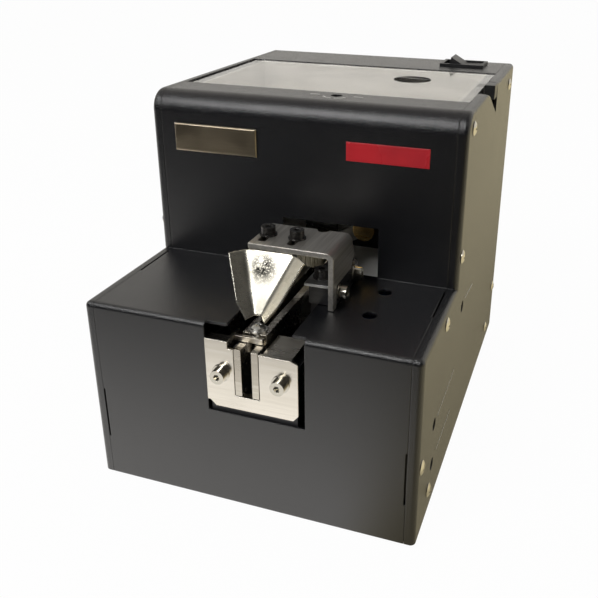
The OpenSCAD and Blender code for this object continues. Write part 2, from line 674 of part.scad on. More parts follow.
module front_plate() color([0.9, 0.86, 0.78]) in_housing() difference() {
  left_in = rail_x - plate_gap_half;
  right_in = rail_x + plate_gap_half;
  ear_x = plate_left + 8.9;
  union() {
    along_y(0, front_t)
      polygon([[plate_left, plate_bottom + 2.2], [plate_left + 1.1, plate_bottom + 2.2],
               [plate_left + 3.3, plate_bottom], [plate_right - 2, plate_bottom],
               [plate_right, plate_bottom + 2.4], [plate_right, right_top - 1],
               [plate_right - 2.6, right_top], [right_in, right_top], [right_in, rail_foot - 0.4],
               [left_in, rail_foot - 0.4], [left_in, left_ear_top - 2.8],
               [ear_x, left_ear_top - 2.8], [ear_x, left_ear_top], [plate_left, left_ear_top]]);
    // Folded ears, and the ledge under the rail
    box([plate_left, 0, left_ear_top - front_t], [ear_x, 4.6, left_ear_top]);
    box([ear_x - front_t, 0, left_ear_top - 4], [ear_x, 10.8, left_ear_top]);
    box([right_in + 0.9, 0, right_top - front_t], [plate_right - 2.6, 16, right_top]);
    box([left_in, 0, rail_foot - 0.4 - front_t], [right_in, 3, rail_foot - 0.4]);
  }
  for (spot = plate_screws) rod_y(spot[0], -1, front_t + 1, spot[1], m3_r);
}

// Socket head screw with washer: the washer's seat is at the origin, the head points to +Z
module socket_screw(length, socket_r = 1.35) {
  difference() {
    cylinder(r = washer_r, h = washer_t);
    translate([0, 0, -1]) cylinder(r = m3_r, h = 3);
  }
  difference() {
    translate([0, 0, washer_t]) cylinder(r = socket_head_r, h = socket_head_h);
    translate([0, 0, washer_t + 1.4]) cylinder(r = socket_r, h = 3, $fn = 6);
  }
  translate([0, 0, -length]) cylinder(r = m3_r, h = length + washer_t + 0.1);
}

module front_plate_screws() color([0.85, 0.83, 0.78]) in_housing()
  for (spot = plate_screws) translate([spot[0], 0, spot[1]]) rotate([90, 0, 0]) socket_screw(7);

// A flat sheet facet through three corners, as thick as t behind its face
module facet(a, b, c, more, t) {
  u = (b - a) / norm(b - a);
  n = cross(b - a, c - a) / norm(cross(b - a, c - a));
  v = cross(n, u);
  flat = [for (p = concat([a, b, c], more)) [(p - a) * u, (p - a) * v]];
  multmatrix([[u[0], v[0], n[0], a[0]], [u[1], v[1], n[1], a[1]], [u[2], v[2], n[2], a[2]], [0, 0, 0, 1]])
    linear_extrude(t) polygon(flat);
}

module guide_wing() {
  top = [-guide_half_w, guide_top_y, guide_top];
  foot = [-guide_foot_half, guide_foot[0], guide_foot[1]];
  tip = [-wing_tip[0], wing_tip[1], wing_tip[2]];
  kink = [-wing_kink[0], wing_kink[1], wing_kink[2]];
  toe = [-wing_toe[0], wing_toe[1], wing_toe[2]];
  facet(foot, top, tip, [kink, toe], guide_t);
}

module bit_guide() color([0.9, 0.9, 0.88]) in_housing() translate([rail_x, 0, 0]) {
  top = [guide_half_w, guide_top_y, guide_top];
  foot = [guide_foot_half, guide_foot[0], guide_foot[1]];
  facet(foot, [-foot[0], foot[1], foot[2]], [-top[0], top[1], top[2]], [top], guide_t);
  guide_wing();
  scale([-1, 1, 1]) guide_wing();
  // Tab clamped under the bracket
  difference() {
    box([-guide_half_w + 1, guide_top_y - 0.2, guide_top - 0.2], [guide_half_w - 1, bracket_y[1] - 1, guide_top + 0.7]);
    for (x = slot_x) rod_z(x - rail_x, slot_y, guide_top - 2, guide_top + 2, m3_r);
  }
}

module guide_bracket() color([0.55, 0.54, 0.52]) in_housing() difference() {
  union() {
    along_y(bracket_y[0], bracket_y[1]) {
      translate([bracket_x[0], bracket_top - bracket_t])
        square([bracket_x[1] - bracket_bend_r - bracket_x[0], bracket_t]);
      translate([bracket_leg_x, bracket_top - 8]) square([bracket_t, 8 - bracket_bend_r]);
      translate([bracket_x[1] - bracket_bend_r, bracket_top - bracket_bend_r]) intersection() {
        difference() {
          circle(bracket_bend_r);
          circle(bracket_bend_r - bracket_t);
        }
        square(bracket_bend_r);
      }
    }
    along_x(bracket_leg_x, bracket_x[1])
      polygon([[bracket_y[0], holder_z], [bracket_y[0] + leg_w, holder_z],
               [bracket_y[0] + leg_w, holder_top + 0.1], [bracket_y[1] - 2, holder_top + 0.1],
               [bracket_y[1] + 2.5, holder_top + 4.6], [bracket_y[1], bracket_top - bracket_bend_r],
               [bracket_y[0], bracket_top - bracket_bend_r]]);
  }
  for (x = slot_x) {
    for (end = [-1, 1]) rod_z(x, slot_y + end * (slot_half - m3_r) - 2, bracket_top - 5, bracket_top + 1, m3_r + 0.2);
    box([x - m3_r - 0.2, slot_y - 2 - slot_half + m3_r, bracket_top - 5],
        [x + m3_r + 0.2, slot_y - 2 + slot_half - m3_r, bracket_top + 1]);
  }
  rod_z(rail_x + 12.9, bracket_y[1], bracket_top - 5, bracket_top + 1, 2.4);
}

module bracket_screws() color([0.2, 0.2, 0.2]) in_housing()
  for (x = slot_x) translate([x, slot_y, bracket_top]) {
    socket_screw(bracket_t + guide_t + 3);
    translate([0, 0, -bracket_t - guide_t - 2]) difference() {
      cylinder(r = 3.2, h = 2, $fn = 6);
      translate([0, 0, -1]) cylinder(r = m3_r, h = 4);
    }
  }

module holder_block() color([0.06, 0.06, 0.06]) in_housing() difference() {
  union() {
    box([holder_x, holder_y[0], holder_z], [bracket_leg_x, holder_y[1], holder_top]);
    box([holder_x, holder_y[0] + 2, base_t], [platform_slot_x[1] - slide_gap, holder_y[1], holder_z + 1]);
  }
  for (spot = clamp_bolt_spots) rod_x(bracket_leg_x - 5, bracket_leg_x + 1, spot[0], spot[1], m3_r);
  rod_z(holder_screw_spot[0], holder_screw_spot[1], holder_top - 6, holder_top + 1, m3_r);
}

module clamp_plate() color([0.06, 0.06, 0.06]) in_housing() difference() {
  box([bracket_leg_x, holder_y[0], holder_z], [clamp_x, holder_y[1], holder_top - slide_gap]);
  for (spot = clamp_bolt_spots) rod_x(bracket_leg_x - 1, clamp_x + 1, spot[0], spot[1], m3_r);
}

module clamp_bolts() color([0.85, 0.85, 0.85]) in_housing()
  for (spot = clamp_bolt_spots)
    translate([clamp_x, spot[0], spot[1]]) rotate([0, 90, 0])
      socket_screw(clamp_x - holder_screw_spot[0] - m3_r - 0.5);

module holder_plate() color([0.45, 0.46, 0.48]) in_housing() difference() {
  box([rail_x + 13.1, bracket_y[0] + 0.3, holder_top], [bracket_leg_x, 39, holder_top + 1]);
  rod_z(holder_screw_spot[0], holder_screw_spot[1], holder_top - 1, holder_top + 2, m3_r);
}

module holder_screw() color([0.08, 0.08, 0.08]) in_housing()
  translate([holder_screw_spot[0], holder_screw_spot[1], holder_top + 1]) socket_screw(6);

module brush_shaft() color([0.8, 0.8, 0.8]) in_housing()
  rod_y(brush_axis[0], brush_y[0], lid_y - slide_gap, brush_axis[1], brush_shaft_r);

module brush_hub() color([0.8, 0.62, 0.3]) in_housing() difference() {
  rod_y(brush_axis[0], brush_y[0] - 1, brush_y[1], brush_axis[1], 4.5);
  rod_y(brush_axis[0], brush_y[0], brush_y[1] + 1, brush_axis[1], brush_shaft_r);
}

// Arm from the hub to the brush over the rail, drawn in (x, z)
module brush_arm() color([0.62, 0.62, 0.64]) in_housing() difference() {
  along_y(brush_y[0], brush_y[1] - 1)
    polygon([[brush_axis[0] - 2, brush_axis[1] + 3], [brush_axis[0] - 2, brush_axis[1] - 4],
             [rail_x + 6, brush_tip_z + 8], [rail_x - 6, brush_tip_z + 8],
             [rail_x - 6, brush_tip_z + 12], [rail_x + 5, brush_tip_z + 12]]);
  rod_y(brush_axis[0], brush_y[0] - 2, brush_y[1] + 1, brush_axis[1], 4.5);
}

module brush_bristles() color([0.85, 0.82, 0.7]) in_housing()
  box([rail_x - 6, brush_y[0], brush_tip_z], [rail_x + 6, brush_y[1] - 1, brush_tip_z + 8]);

module brush_bearing() color([0.12, 0.12, 0.12]) in_housing() difference() {
  box([brush_axis[0] - 8, brush_y[1] + 0.4, brush_axis[1] - 10], [brush_axis[0] + 8, lid_y, brush_axis[1] + 8]);
  rod_y(brush_axis[0], brush_y[1], lid_y + 1, brush_axis[1], brush_shaft_r + run_gap);
}

module gate_plate() color([0.7, 0.7, 0.68]) in_housing()
  box([rail_x - 7, gate_y, rail_top + 3.2], [rail_x + 7, gate_y + 1.6, gate_block_z[0] - 4]);

module gate_block() color([0.12, 0.12, 0.12]) in_housing() difference() {
  box([rail_x - 3, gate_lock_spot[1] - 4.3, gate_block_z[0]], [rail_x + 13, lid_y, gate_block_z[1]]);
  rod_z(gate_lock_spot[0], gate_lock_spot[1], gate_block_z[0] - 1, gate_block_z[1] + 1, gate_lock_r + run_gap);
}

module gate_lock_screw() color([0.75, 0.75, 0.75]) in_housing() difference() {
  union() {
    rod_z(gate_lock_spot[0], gate_lock_spot[1], gate_block_z[0] - 2, body_h - 6, gate_lock_r);
    rod_z(gate_lock_spot[0], gate_lock_spot[1], gate_block_z[1] + rub_gap, gate_block_z[1] + 2, gate_lock_r + 1.5);
  }
  translate([gate_lock_spot[0], gate_lock_spot[1], body_h - 9]) cylinder(r = 1.2, h = 5, $fn = 6);
}

module control_board() color([0.05, 0.3, 0.15]) in_housing() {
  box([board_x, board_y[0], 5], [board_x + board_t, board_y[1], 70]);
  // Driver chips, relay and connectors on the inner face
  box([board_x - 8, 30, 40], [board_x + 0.2, 46, 58]);
  box([board_x - 3, 52, 34], [board_x + 0.2, 64, 46]);
  box([board_x - 7, 50, 10], [board_x + 0.2, 70, 18]);
}

module board_standoffs() color([0.75, 0.7, 0.5]) in_housing()
  for (spot = [[42, 22], [72, 22], [42, 60], [60, 60]])
    rod_x(board_x + board_t, inner_x, spot[0], spot[1], 2.5);

module trimmer_bodies() color([0.1, 0.2, 0.5]) in_housing()
  for (spot = trimmer_spots) difference() {
    translate([board_x + board_t, spot[0] - trimmer_body / 2, spot[1] - trimmer_body / 2])
      cube([trimmer_body_x - board_x - board_t, trimmer_body, trimmer_body]);
    rod_x(board_x + board_t + 1, trimmer_body_x + 1, spot[0], spot[1], 1.2 + run_gap);
  }

module trimmer_knob(spot) color([0.85, 0.85, 0.8]) in_housing() difference() {
  union() {
    rod_x(trimmer_body_x + 0.2, side_x - 0.8, spot[0], spot[1], trimmer_r);
    rod_x(board_x + board_t + 1.3, trimmer_body_x + 0.3, spot[0], spot[1], 1.2);
  }
  translate([side_x - 1.6, spot[0] - 0.3, spot[1] - 1.6]) cube([2, 0.6, 3.2]);
}

module brush_trimmer() trimmer_knob(trimmer_spots[0]);

module shake_trimmer() trimmer_knob(trimmer_spots[1]);

module sensor_trimmer() trimmer_knob(trimmer_spots[2]);

module switch_body() color([0.07, 0.07, 0.07]) in_housing() translate([switch_x, switch_y, 0])
  difference() {
    union() {
      translate([-switch_l / 2, -switch_w / 2, body_h]) cube([switch_l, switch_w, bezel_t]);
      translate([-well_l / 2 - 0.5, -well_w / 2 - 0.5, body_h - 16]) cube([well_l + 1, well_w + 1, 16.1]);
    }
    translate([-well_l / 2, -well_w / 2, body_h - 12]) cube([well_l, well_w, 20]);
    rod_y(0, -well_w / 2 - 0.4, well_w / 2 + 0.4, rocker_z, 1 + run_gap);
  }

// Rocker, tilted so that its left end stands up; its trunnions sit in the body's walls
module switch_rocker() color([0.08, 0.08, 0.08]) in_housing() translate([switch_x, switch_y, rocker_z])
  rotate([0, rocker_tilt, 0]) {
    along_y(-well_w / 2 + slide_gap, well_w / 2 - slide_gap)
      polygon([[-rocker_half, 1], [-rocker_half, 6.6], [0, 4.6], [rocker_half, 6.6], [rocker_half, 1],
               [2.5, -3], [-2.5, -3]]);
    rod_y(0, -well_w / 2 - 0.35, well_w / 2 + 0.35, 0, 1);
  }

module dc_jack() color([0.12, 0.12, 0.12]) in_housing() {
  difference() {
    union() {
      rod_y(jack_spot[0], rear_y - 12, body_d + 1, jack_spot[1], 5.5);
      rod_y(jack_spot[0], body_d, body_d + jack_proud, jack_spot[1], 7);
    }
    rod_y(jack_spot[0], rear_y - 8, body_d + jack_proud + 1, jack_spot[1], jack_r);
  }
  rod_y(jack_spot[0], rear_y - 9, body_d, jack_spot[1], 1);
}

module badge_plate() color([0.75, 0.7, 0.6]) in_housing()
  box([-54.7, platform_d - 0.8, platform_h + 44.8], [-18.6, platform_d, platform_h + 56.2]);

module label_plate() color([0.75, 0.1, 0.15]) in_housing()
  box([18.7, platform_d - 0.3, platform_h + 47.3], [51.3, platform_d, platform_h + 54.8]);

front_shell();
left_panel();
right_panel();
rear_cover();
base_plate();
rubber_feet();
left_panel_screws();
right_panel_screws();
lid();
lid_pull();
lid_hinge_pins();
hopper();
scoop();
scoop_guide_rods();
scoop_link();
crank();
drive_gear();
drive_bracket();
gear_motor();
motor_pinion();
rail_left();
rail_right();
rail_carriage();
rail_guide_rods();
rail_pedestals();
vibration_magnet();
armature();
pickup_sensor();
fed_screw();
stopper();
front_plate();
front_plate_screws();
bit_guide();
guide_bracket();
bracket_screws();
holder_block();
clamp_plate();
clamp_bolts();
holder_plate();
holder_screw();
brush_shaft();
brush_hub();
brush_arm();
brush_bristles();
brush_bearing();
gate_plate();
gate_block();
gate_lock_screw();
control_board();
board_standoffs();
trimmer_bodies();
brush_trimmer();
shake_trimmer();
sensor_trimmer();
switch_body();
switch_rocker();
dc_jack();
badge_plate();
label_plate();
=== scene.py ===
"""Looks of an automatic screw feeder: its studio, its finishes and its dressed sub-assemblies.

Every length is in metres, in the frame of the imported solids: +Z up, the front towards -Y.
"""

import json
import logging
import math
from dataclasses import dataclass, field
from enum import Enum

import bmesh
import bpy
import numpy as np
from mathutils import Matrix, Vector


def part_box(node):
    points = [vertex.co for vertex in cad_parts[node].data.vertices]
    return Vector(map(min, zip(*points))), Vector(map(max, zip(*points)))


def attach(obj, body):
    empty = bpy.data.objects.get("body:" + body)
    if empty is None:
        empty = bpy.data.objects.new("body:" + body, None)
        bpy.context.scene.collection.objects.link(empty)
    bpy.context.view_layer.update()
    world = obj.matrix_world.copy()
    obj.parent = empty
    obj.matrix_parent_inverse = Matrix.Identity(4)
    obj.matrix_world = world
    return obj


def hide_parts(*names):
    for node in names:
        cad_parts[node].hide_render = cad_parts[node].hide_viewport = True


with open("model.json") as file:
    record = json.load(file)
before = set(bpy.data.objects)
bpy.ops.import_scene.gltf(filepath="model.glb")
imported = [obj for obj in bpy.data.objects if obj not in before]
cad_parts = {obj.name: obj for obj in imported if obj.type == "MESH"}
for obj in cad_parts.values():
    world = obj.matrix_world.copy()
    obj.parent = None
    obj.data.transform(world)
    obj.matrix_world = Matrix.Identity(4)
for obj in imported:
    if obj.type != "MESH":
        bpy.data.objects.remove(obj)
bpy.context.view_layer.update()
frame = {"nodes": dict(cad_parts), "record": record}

MM = 0.001
LOG = logging.getLogger("screw_feeder")
DUST = (0.36, 0.34, 0.3)
WHITE = (1.0, 1.0, 1.0)
Colour = tuple[float, float, float]
Socket = bpy.types.NodeSocket
Direction = tuple[float, float, float]
Grid = np.ndarray


class Streaks(Enum):
    """The direction that a brushed or rolled grain runs in, as stretches of X, Y and Z."""

    ALONG_X = (0.03, 1.0, 1.0)
    ALONG_Y = (1.0, 0.03, 1.0)


class ShaderGraph:
    """Places and joins the nodes of one material or node group."""

    def __init__(self, tree: bpy.types.NodeTree) -> None:
        """Keeps the tree that the nodes go in."""
        self.tree = tree

    def add(self, kind: str, inputs: dict | None = None, **settings: object) -> bpy.types.Node:
        """Adds one node.

        Args:
            kind: The node's type, without the ShaderNode that starts it.
            inputs: A value or an output socket for each named or numbered input.
            settings: The node's own properties.

        Returns:
            The new node.
        """
        node = self.tree.nodes.new("ShaderNode" + kind)
        for name, value in settings.items():
            setattr(node, name, value)
        for key, value in (inputs or {}).items():
            if isinstance(value, bpy.types.NodeSocket):
                self.tree.links.new(value, node.inputs[key])
            else:
                node.inputs[key].default_value = value
        return node

    def join(self, source: Socket, target: Socket) -> None:
        """Links an output to an input."""
        self.tree.links.new(source, target)

    def math(self, operation: str, first: object, second: object) -> Socket:
        """Adds a Math node of two values and returns its result."""
        return self.add("Math", {0: first, 1: second}, operation=operation).outputs[0]

    def times(self, first: object, second: object) -> Socket:
        """Multiplies two values and returns the result."""
        return self.math("MULTIPLY", first, second)

    def noise(self, where: Socket, scale: object, detail: float, rough: float = 0.5) -> Socket:
        """Adds a noise texture and returns its value.

        Args:
            where: The coordinates that it reads.
            scale: Its frequency, per metre.
            detail: How many finer layers it has.
            rough: How strong each finer layer is.

        Returns:
            The noise, about 0.5 on average.
        """
        inputs = {"Vector": where, "Scale": scale, "Detail": detail, "Roughness": rough}
        return self.add("TexNoise", inputs).outputs[0]

    def ramp(
        self, value: object, low: float, high: float, start: float = 0.0, end: float = 1.0
    ) -> Socket:
        """Eases a value.

        Args:
            value: The value.
            low: Where the ramp begins.
            high: Where it ends.
            start: The result at low.
            end: The result at high.

        Returns:
            A smooth step from start to end.
        """
        inputs = {
            "Value": value, "From Min": low, "From Max": high, "To Min": start, "To Max": end,
        }
        return self.add("MapRange", inputs, interpolation_type="SMOOTHSTEP").outputs[0]

    def mix(self, share: object, first: object, second: object) -> Socket:
        """Mixes two values by share and returns the result."""
        return self.add("Mix", {0: share, 2: first, 3: second}, data_type="FLOAT").outputs[0]

    def blend(self, share: object, first: object, second: object) -> Socket:
        """Mixes two colours.

        Args:
            share: The share of the second colour.
            first: A colour or its socket.
            second: A colour or its socket.

        Returns:
            The mixed colour.
        """
        node = self.add("Mix", data_type="RGBA")
        for index, value in ((0, share), (6, first), (7, second)):
            if isinstance(value, bpy.types.NodeSocket):
                self.tree.links.new(value, node.inputs[index])
            elif index == 0:
                node.inputs[index].default_value = value
            else:
                node.inputs[index].default_value = (*value[:3], 1.0)
        return node.outputs[2]


class Effects:
    """The node groups that several finishes share. Each is built when it is first asked for."""

    def __init__(self) -> None:
        """Starts with no group built."""
        self.built: dict[str, bpy.types.NodeTree] = {}

    def _start(self, name: str, inputs: dict[str, float | str], outputs: dict[str, str]) -> tuple:
        """Makes an empty group with named sockets.

        Args:
            name: The group's name.
            inputs: A default number for each input, or the word VECTOR.
            outputs: The kind of each output: Float, Color or Vector.

        Returns:
            The group's graph, the outputs of its input node, and its output node.
        """
        tree = bpy.data.node_groups.new(name, "ShaderNodeTree")
        for label, value in inputs.items():
            kind = "NodeSocketVector" if value == "VECTOR" else "NodeSocketFloat"
            socket = tree.interface.new_socket(label, in_out="INPUT", socket_type=kind)
            if value != "VECTOR":
                socket.default_value = value
        for label, kind in outputs.items():
            tree.interface.new_socket(label, in_out="OUTPUT", socket_type="NodeSocket" + kind)
        entry = tree.nodes.new("NodeGroupInput")
        leave = tree.nodes.new("NodeGroupOutput")
        self.built[name] = tree
        return ShaderGraph(tree), entry.outputs, leave

    def _powder_grain(self) -> None:
        """Builds the orange peel of a textured coat: fine pebbles, with slow patches in shade."""
        graph, entry, leave = self._start(
            "powder_grain",
            {"Where": "VECTOR", "Scale": 2000.0},
            {"Height": "Float", "Shade": "Float"},
        )
        pebbles = graph.noise(entry["Where"], entry["Scale"], 2.0, 0.6)
        patches = graph.noise(entry["Where"], graph.times(entry["Scale"], 0.06), 3.0)
        height = graph.ramp(pebbles, 0.3, 0.72)
        graph.join(height, leave.inputs["Height"])
        graph.join(graph.times(height, patches), leave.inputs["Shade"])

    def _brushed_streaks(self) -> None:
        """Builds fine scratches from stretched noise, and slow bands across them."""
        graph, entry, leave = self._start(
            "brushed_streaks",
            {"Where": "VECTOR", "Scale": 900.0},
            {"Height": "Float", "Shade": "Float"},
        )
        fine = graph.noise(entry["Where"], entry["Scale"], 4.0, 0.65)
        slow = graph.noise(entry["Where"], graph.times(entry["Scale"], 0.12), 2.0)
        graph.join(fine, leave.inputs["Height"])
        total = graph.math("ADD", graph.times(fine, 0.6), graph.times(slow, 0.4))
        graph.join(graph.ramp(total, 0.32, 0.68), leave.inputs["Shade"])

    def _moulded_skin(self) -> None:
        """Builds the spark-eroded skin of moulded parts: small cells with soft edges."""
        graph, entry, leave = self._start(
            "moulded_skin",
            {"Where": "VECTOR", "Scale": 1500.0},
            {"Height": "Float", "Shade": "Float"},
        )
        inputs = {"Vector": entry["Where"], "Scale": entry["Scale"]}
        cells = graph.add("TexVoronoi", inputs, feature="SMOOTH_F1")
        cloud = graph.noise(entry["Where"], graph.times(entry["Scale"], 0.05), 3.0)
        graph.join(cells.outputs["Distance"], leave.inputs["Height"])
        graph.join(graph.ramp(cloud, 0.3, 0.7), leave.inputs["Shade"])

    def _handling(self) -> None:
        """Builds the soft smudges that hands and cloths leave, as a number from 0 to 1."""
        graph, entry, leave = self._start(
            "handling", {"Where": "VECTOR", "Scale": 45.0}, {"Smudge": "Float"}
        )
        inputs = {
            "Vector": entry["Where"], "Scale": entry["Scale"], "Detail": 4.0, "Distortion": 0.2,
        }
        wipes = graph.add("TexNoise", inputs).outputs[0]
        graph.join(graph.ramp(wipes, 0.35, 0.7), leave.inputs["Smudge"])

    def _worn_edges(self) -> None:
        """Builds a mask of sharp edges: where the rounded normal leaves the flat one."""
        graph, entry, leave = self._start(
            "worn_edges",
            {"Where": "VECTOR", "Reach": 0.0004, "Break": 600.0},
            {"Mask": "Float", "Rounded": "Vector"},
        )
        rounded = graph.add("Bevel", {"Radius": entry["Reach"]}, samples=4).outputs[0]
        flat = graph.add("NewGeometry").outputs["Normal"]
        match = graph.add("VectorMath", {0: rounded, 1: flat}, operation="DOT_PRODUCT")
        noise = graph.noise(entry["Where"], entry["Break"], 3.0)
        edge = graph.ramp(match.outputs["Value"], 0.995, 0.9)
        graph.join(graph.times(edge, graph.ramp(noise, 0.38, 0.62)), leave.inputs["Mask"])
        graph.join(rounded, leave.inputs["Rounded"])

    def _settled_dust(self) -> None:
        """Builds a mask of the fine dust on level faces: upward normals times a patchy noise."""
        graph, entry, leave = self._start(
            "settled_dust", {"Where": "VECTOR", "Scale": 300.0}, {"Mask": "Float"}
        )
        normal = graph.add("NewGeometry").outputs["Normal"]
        upward = graph.add("SeparateXYZ", {0: normal}).outputs["Z"]
        motes = graph.noise(entry["Where"], entry["Scale"], 8.0, 0.75)
        patch = graph.noise(entry["Where"], 18.0, 2.0)
        share = graph.times(graph.ramp(upward, 0.5, 0.95), graph.ramp(motes, 0.48, 0.75))
        graph.join(graph.times(share, graph.ramp(patch, 0.3, 0.7)), leave.inputs["Mask"])

    def place(self, graph: ShaderGraph, name: str, inputs: dict) -> bpy.types.Node:
        """Places a shared group in a material.

        Args:
            graph: The material's graph.
            name: The group's name.
            inputs: Its input values or sockets.

        Returns:
            The group node.
        """
        if name not in self.built:
            getattr(self, "_" + name)()
        node = graph.tree.nodes.new("ShaderNodeGroup")
        node.node_tree = self.built[name]
        for key, value in inputs.items():
            if isinstance(value, bpy.types.NodeSocket):
                graph.tree.links.new(value, node.inputs[key])
            else:
                node.inputs[key].default_value = value
        return node


EFFECTS = Effects()


@dataclass(frozen=True)
class Finish:
    """What all finishes share: colour, gloss, grain, worn edges and dust.

    Attributes:
        colour: The main colour, linear.
        shade: The colour that the pattern moves it towards.
        roughness: The middle roughness.
        spread: How far smudges move the roughness.
        metallic: 1 for bare metal.
        scale: The grain's frequency, per metre.
        depth: The grain's height.
        reach: How far the light on an edge reaches in.
        wear: The share of worn_colour on edges.
        worn_colour: What shows at a worn edge.
        dust: The share of dust on level faces.
        ior: The refractive index of the skin.
    """

    colour: Colour
    shade: Colour
    roughness: float
    spread: float = 0.1
    metallic: float = 0.0
    scale: float = 1500.0
    depth: float = 0.00002
    reach: float = 0.0003
    wear: float = 0.0
    worn_colour: Colour = (0.4, 0.4, 0.4)
    dust: float = 0.0
    ior: float = 1.5

    group = "moulded_skin"

    def stretched(self, graph: ShaderGraph, where: Socket) -> Socket:
        """Returns the coordinates that the pattern reads."""
        return where

    def tint(self, graph: ShaderGraph, where: Socket, colour: Socket) -> Socket:
        """Returns the colour with any stain that only one kind of finish has."""
        return colour

    def extras(self, graph: ShaderGraph, shader: bpy.types.Node) -> bpy.types.Node:
        """Sets what only one kind of finish has, and returns the node that the surface shows."""
        return shader

    def make(self, name: str) -> bpy.types.Material:
        """Builds the material.

        Args:
            name: The material's name.

        Returns:
            A material with a Principled shader and procedural detail.
        """
        material = bpy.data.materials.new(name)
        material.use_nodes = True
        material.node_tree.nodes.clear()
        graph = ShaderGraph(material.node_tree)
        where = graph.add("TexCoord").outputs["Object"]
        grain = {"Where": self.stretched(graph, where), "Scale": self.scale}
        pattern = EFFECTS.place(graph, self.group, grain)
        smudge = EFFECTS.place(graph, "handling", {"Where": where}).outputs["Smudge"]
        edges = EFFECTS.place(graph, "worn_edges", {"Where": where, "Reach": self.reach})
        colour = graph.blend(pattern.outputs["Shade"], self.colour, self.shade)
        colour = self.tint(graph, where, colour)
        if self.wear:
            bare = graph.times(edges.outputs["Mask"], self.wear)
            colour = graph.blend(bare, colour, self.worn_colour)
        if self.dust:
            motes = EFFECTS.place(graph, "settled_dust", {"Where": where}).outputs["Mask"]
            colour = graph.blend(graph.times(motes, self.dust), colour, DUST)
        low, high = max(0.03, self.roughness - self.spread), min(1.0, self.roughness + self.spread)
        shade = pattern.outputs["Shade"]
        mixed = graph.math("ADD", graph.times(smudge, 0.6), graph.times(shade, 0.4))
        rough = graph.ramp(mixed, 0.0, 1.0, low, high)
        bump = graph.add("Bump", {
            "Height": pattern.outputs["Height"], "Distance": self.depth,
            "Strength": 1.0, "Normal": edges.outputs["Rounded"],
        })
        shader = graph.add("BsdfPrincipled", {
            "Base Color": colour, "Roughness": rough, "Metallic": self.metallic,
            "IOR": self.ior, "Normal": bump.outputs[0],
        })
        shown = self.extras(graph, shader)
        output = graph.add("OutputMaterial")
        graph.tree.links.new(shown.outputs[0], output.inputs["Surface"])
        return material


@dataclass(frozen=True)
class PowderCoat(Finish):
    """A baked textured coat on sheet metal."""

    group = "powder_grain"


@dataclass(frozen=True)
class RolledMetal(Finish):
    """Bare or plated metal with a grain that runs one way."""

    streaks: Streaks = Streaks.ALONG_X
    group = "brushed_streaks"

    def stretched(self, graph: ShaderGraph, where: Socket) -> Socket:
        """Stretches the coordinates along the grain."""
        return graph.add("Mapping", {"Vector": where, "Scale": self.streaks.value}).outputs[0]


@dataclass(frozen=True)
class StainedChrome(RolledMetal):
    """Chrome with a speckled grey rub mark.

    Attributes:
        spot: The middle of the mark.
        spot_reach: The mark's radius.
        stain: The mark's colour.
    """

    spot: tuple[float, float, float] = (-0.0006, -0.0705, 0.0936)
    spot_reach: float = 0.0098
    stain: Colour = (0.003, 0.0028, 0.0024)

    def tint(self, graph: ShaderGraph, where: Socket, colour: Socket) -> Socket:
        """Darkens the colour near the spot, where a fine noise breaks the mark into speckles.

        Args:
            graph: The material's graph.
            where: The coordinates on the piece.
            colour: The clean colour.

        Returns:
            The marked colour.
        """
        away = graph.add("VectorMath", {0: where, 1: self.spot}, operation="DISTANCE")
        near = graph.ramp(away.outputs["Value"], self.spot_reach, self.spot_reach * 0.15)
        speckle = graph.noise(where, 1500.0, 4.0, 0.8)
        cloud = graph.noise(where, 230.0, 3.0)
        mark = graph.times(graph.ramp(cloud, 0.25, 0.5), graph.ramp(speckle, 0.28, 0.52))
        return graph.blend(graph.times(near, mark), colour, self.stain)


@dataclass(frozen=True)
class MouldedPlastic(Finish):
    """Injection-moulded plastic or rubber."""


@dataclass(frozen=True)
class ClearSheet(Finish):
    """Clear acrylic sheet with rubbed marks.

    Attributes:
        clear: The share of light that goes through.
        shadow: The colour of the light that it lets onto what lies under it.
    """

    clear: float = 1.0
    shadow: Colour = (0.82, 0.8, 0.76)

    def extras(self, graph: ShaderGraph, shader: bpy.types.Node) -> bpy.types.Node:
        """Lets light through the sheet, and lets the lamps reach what is under it.

        Args:
            graph: The material's graph.
            shader: The shader of the sheet's skin.

        Returns:
            The shader, mixed with plain air for shadows and for scattered light.
        """
        shader.inputs["Transmission Weight"].default_value = self.clear
        path = graph.add("LightPath").outputs
        passing = graph.math("MAXIMUM", path["Is Shadow Ray"], path["Is Diffuse Ray"])
        open_air = graph.add("BsdfTransparent", {"Color": (*self.shadow, 1.0)})
        return graph.add("MixShader", {0: passing, 1: shader.outputs[0], 2: open_air.outputs[0]})


@dataclass(frozen=True)
class CircuitBoard(Finish):
    """Green solder mask."""


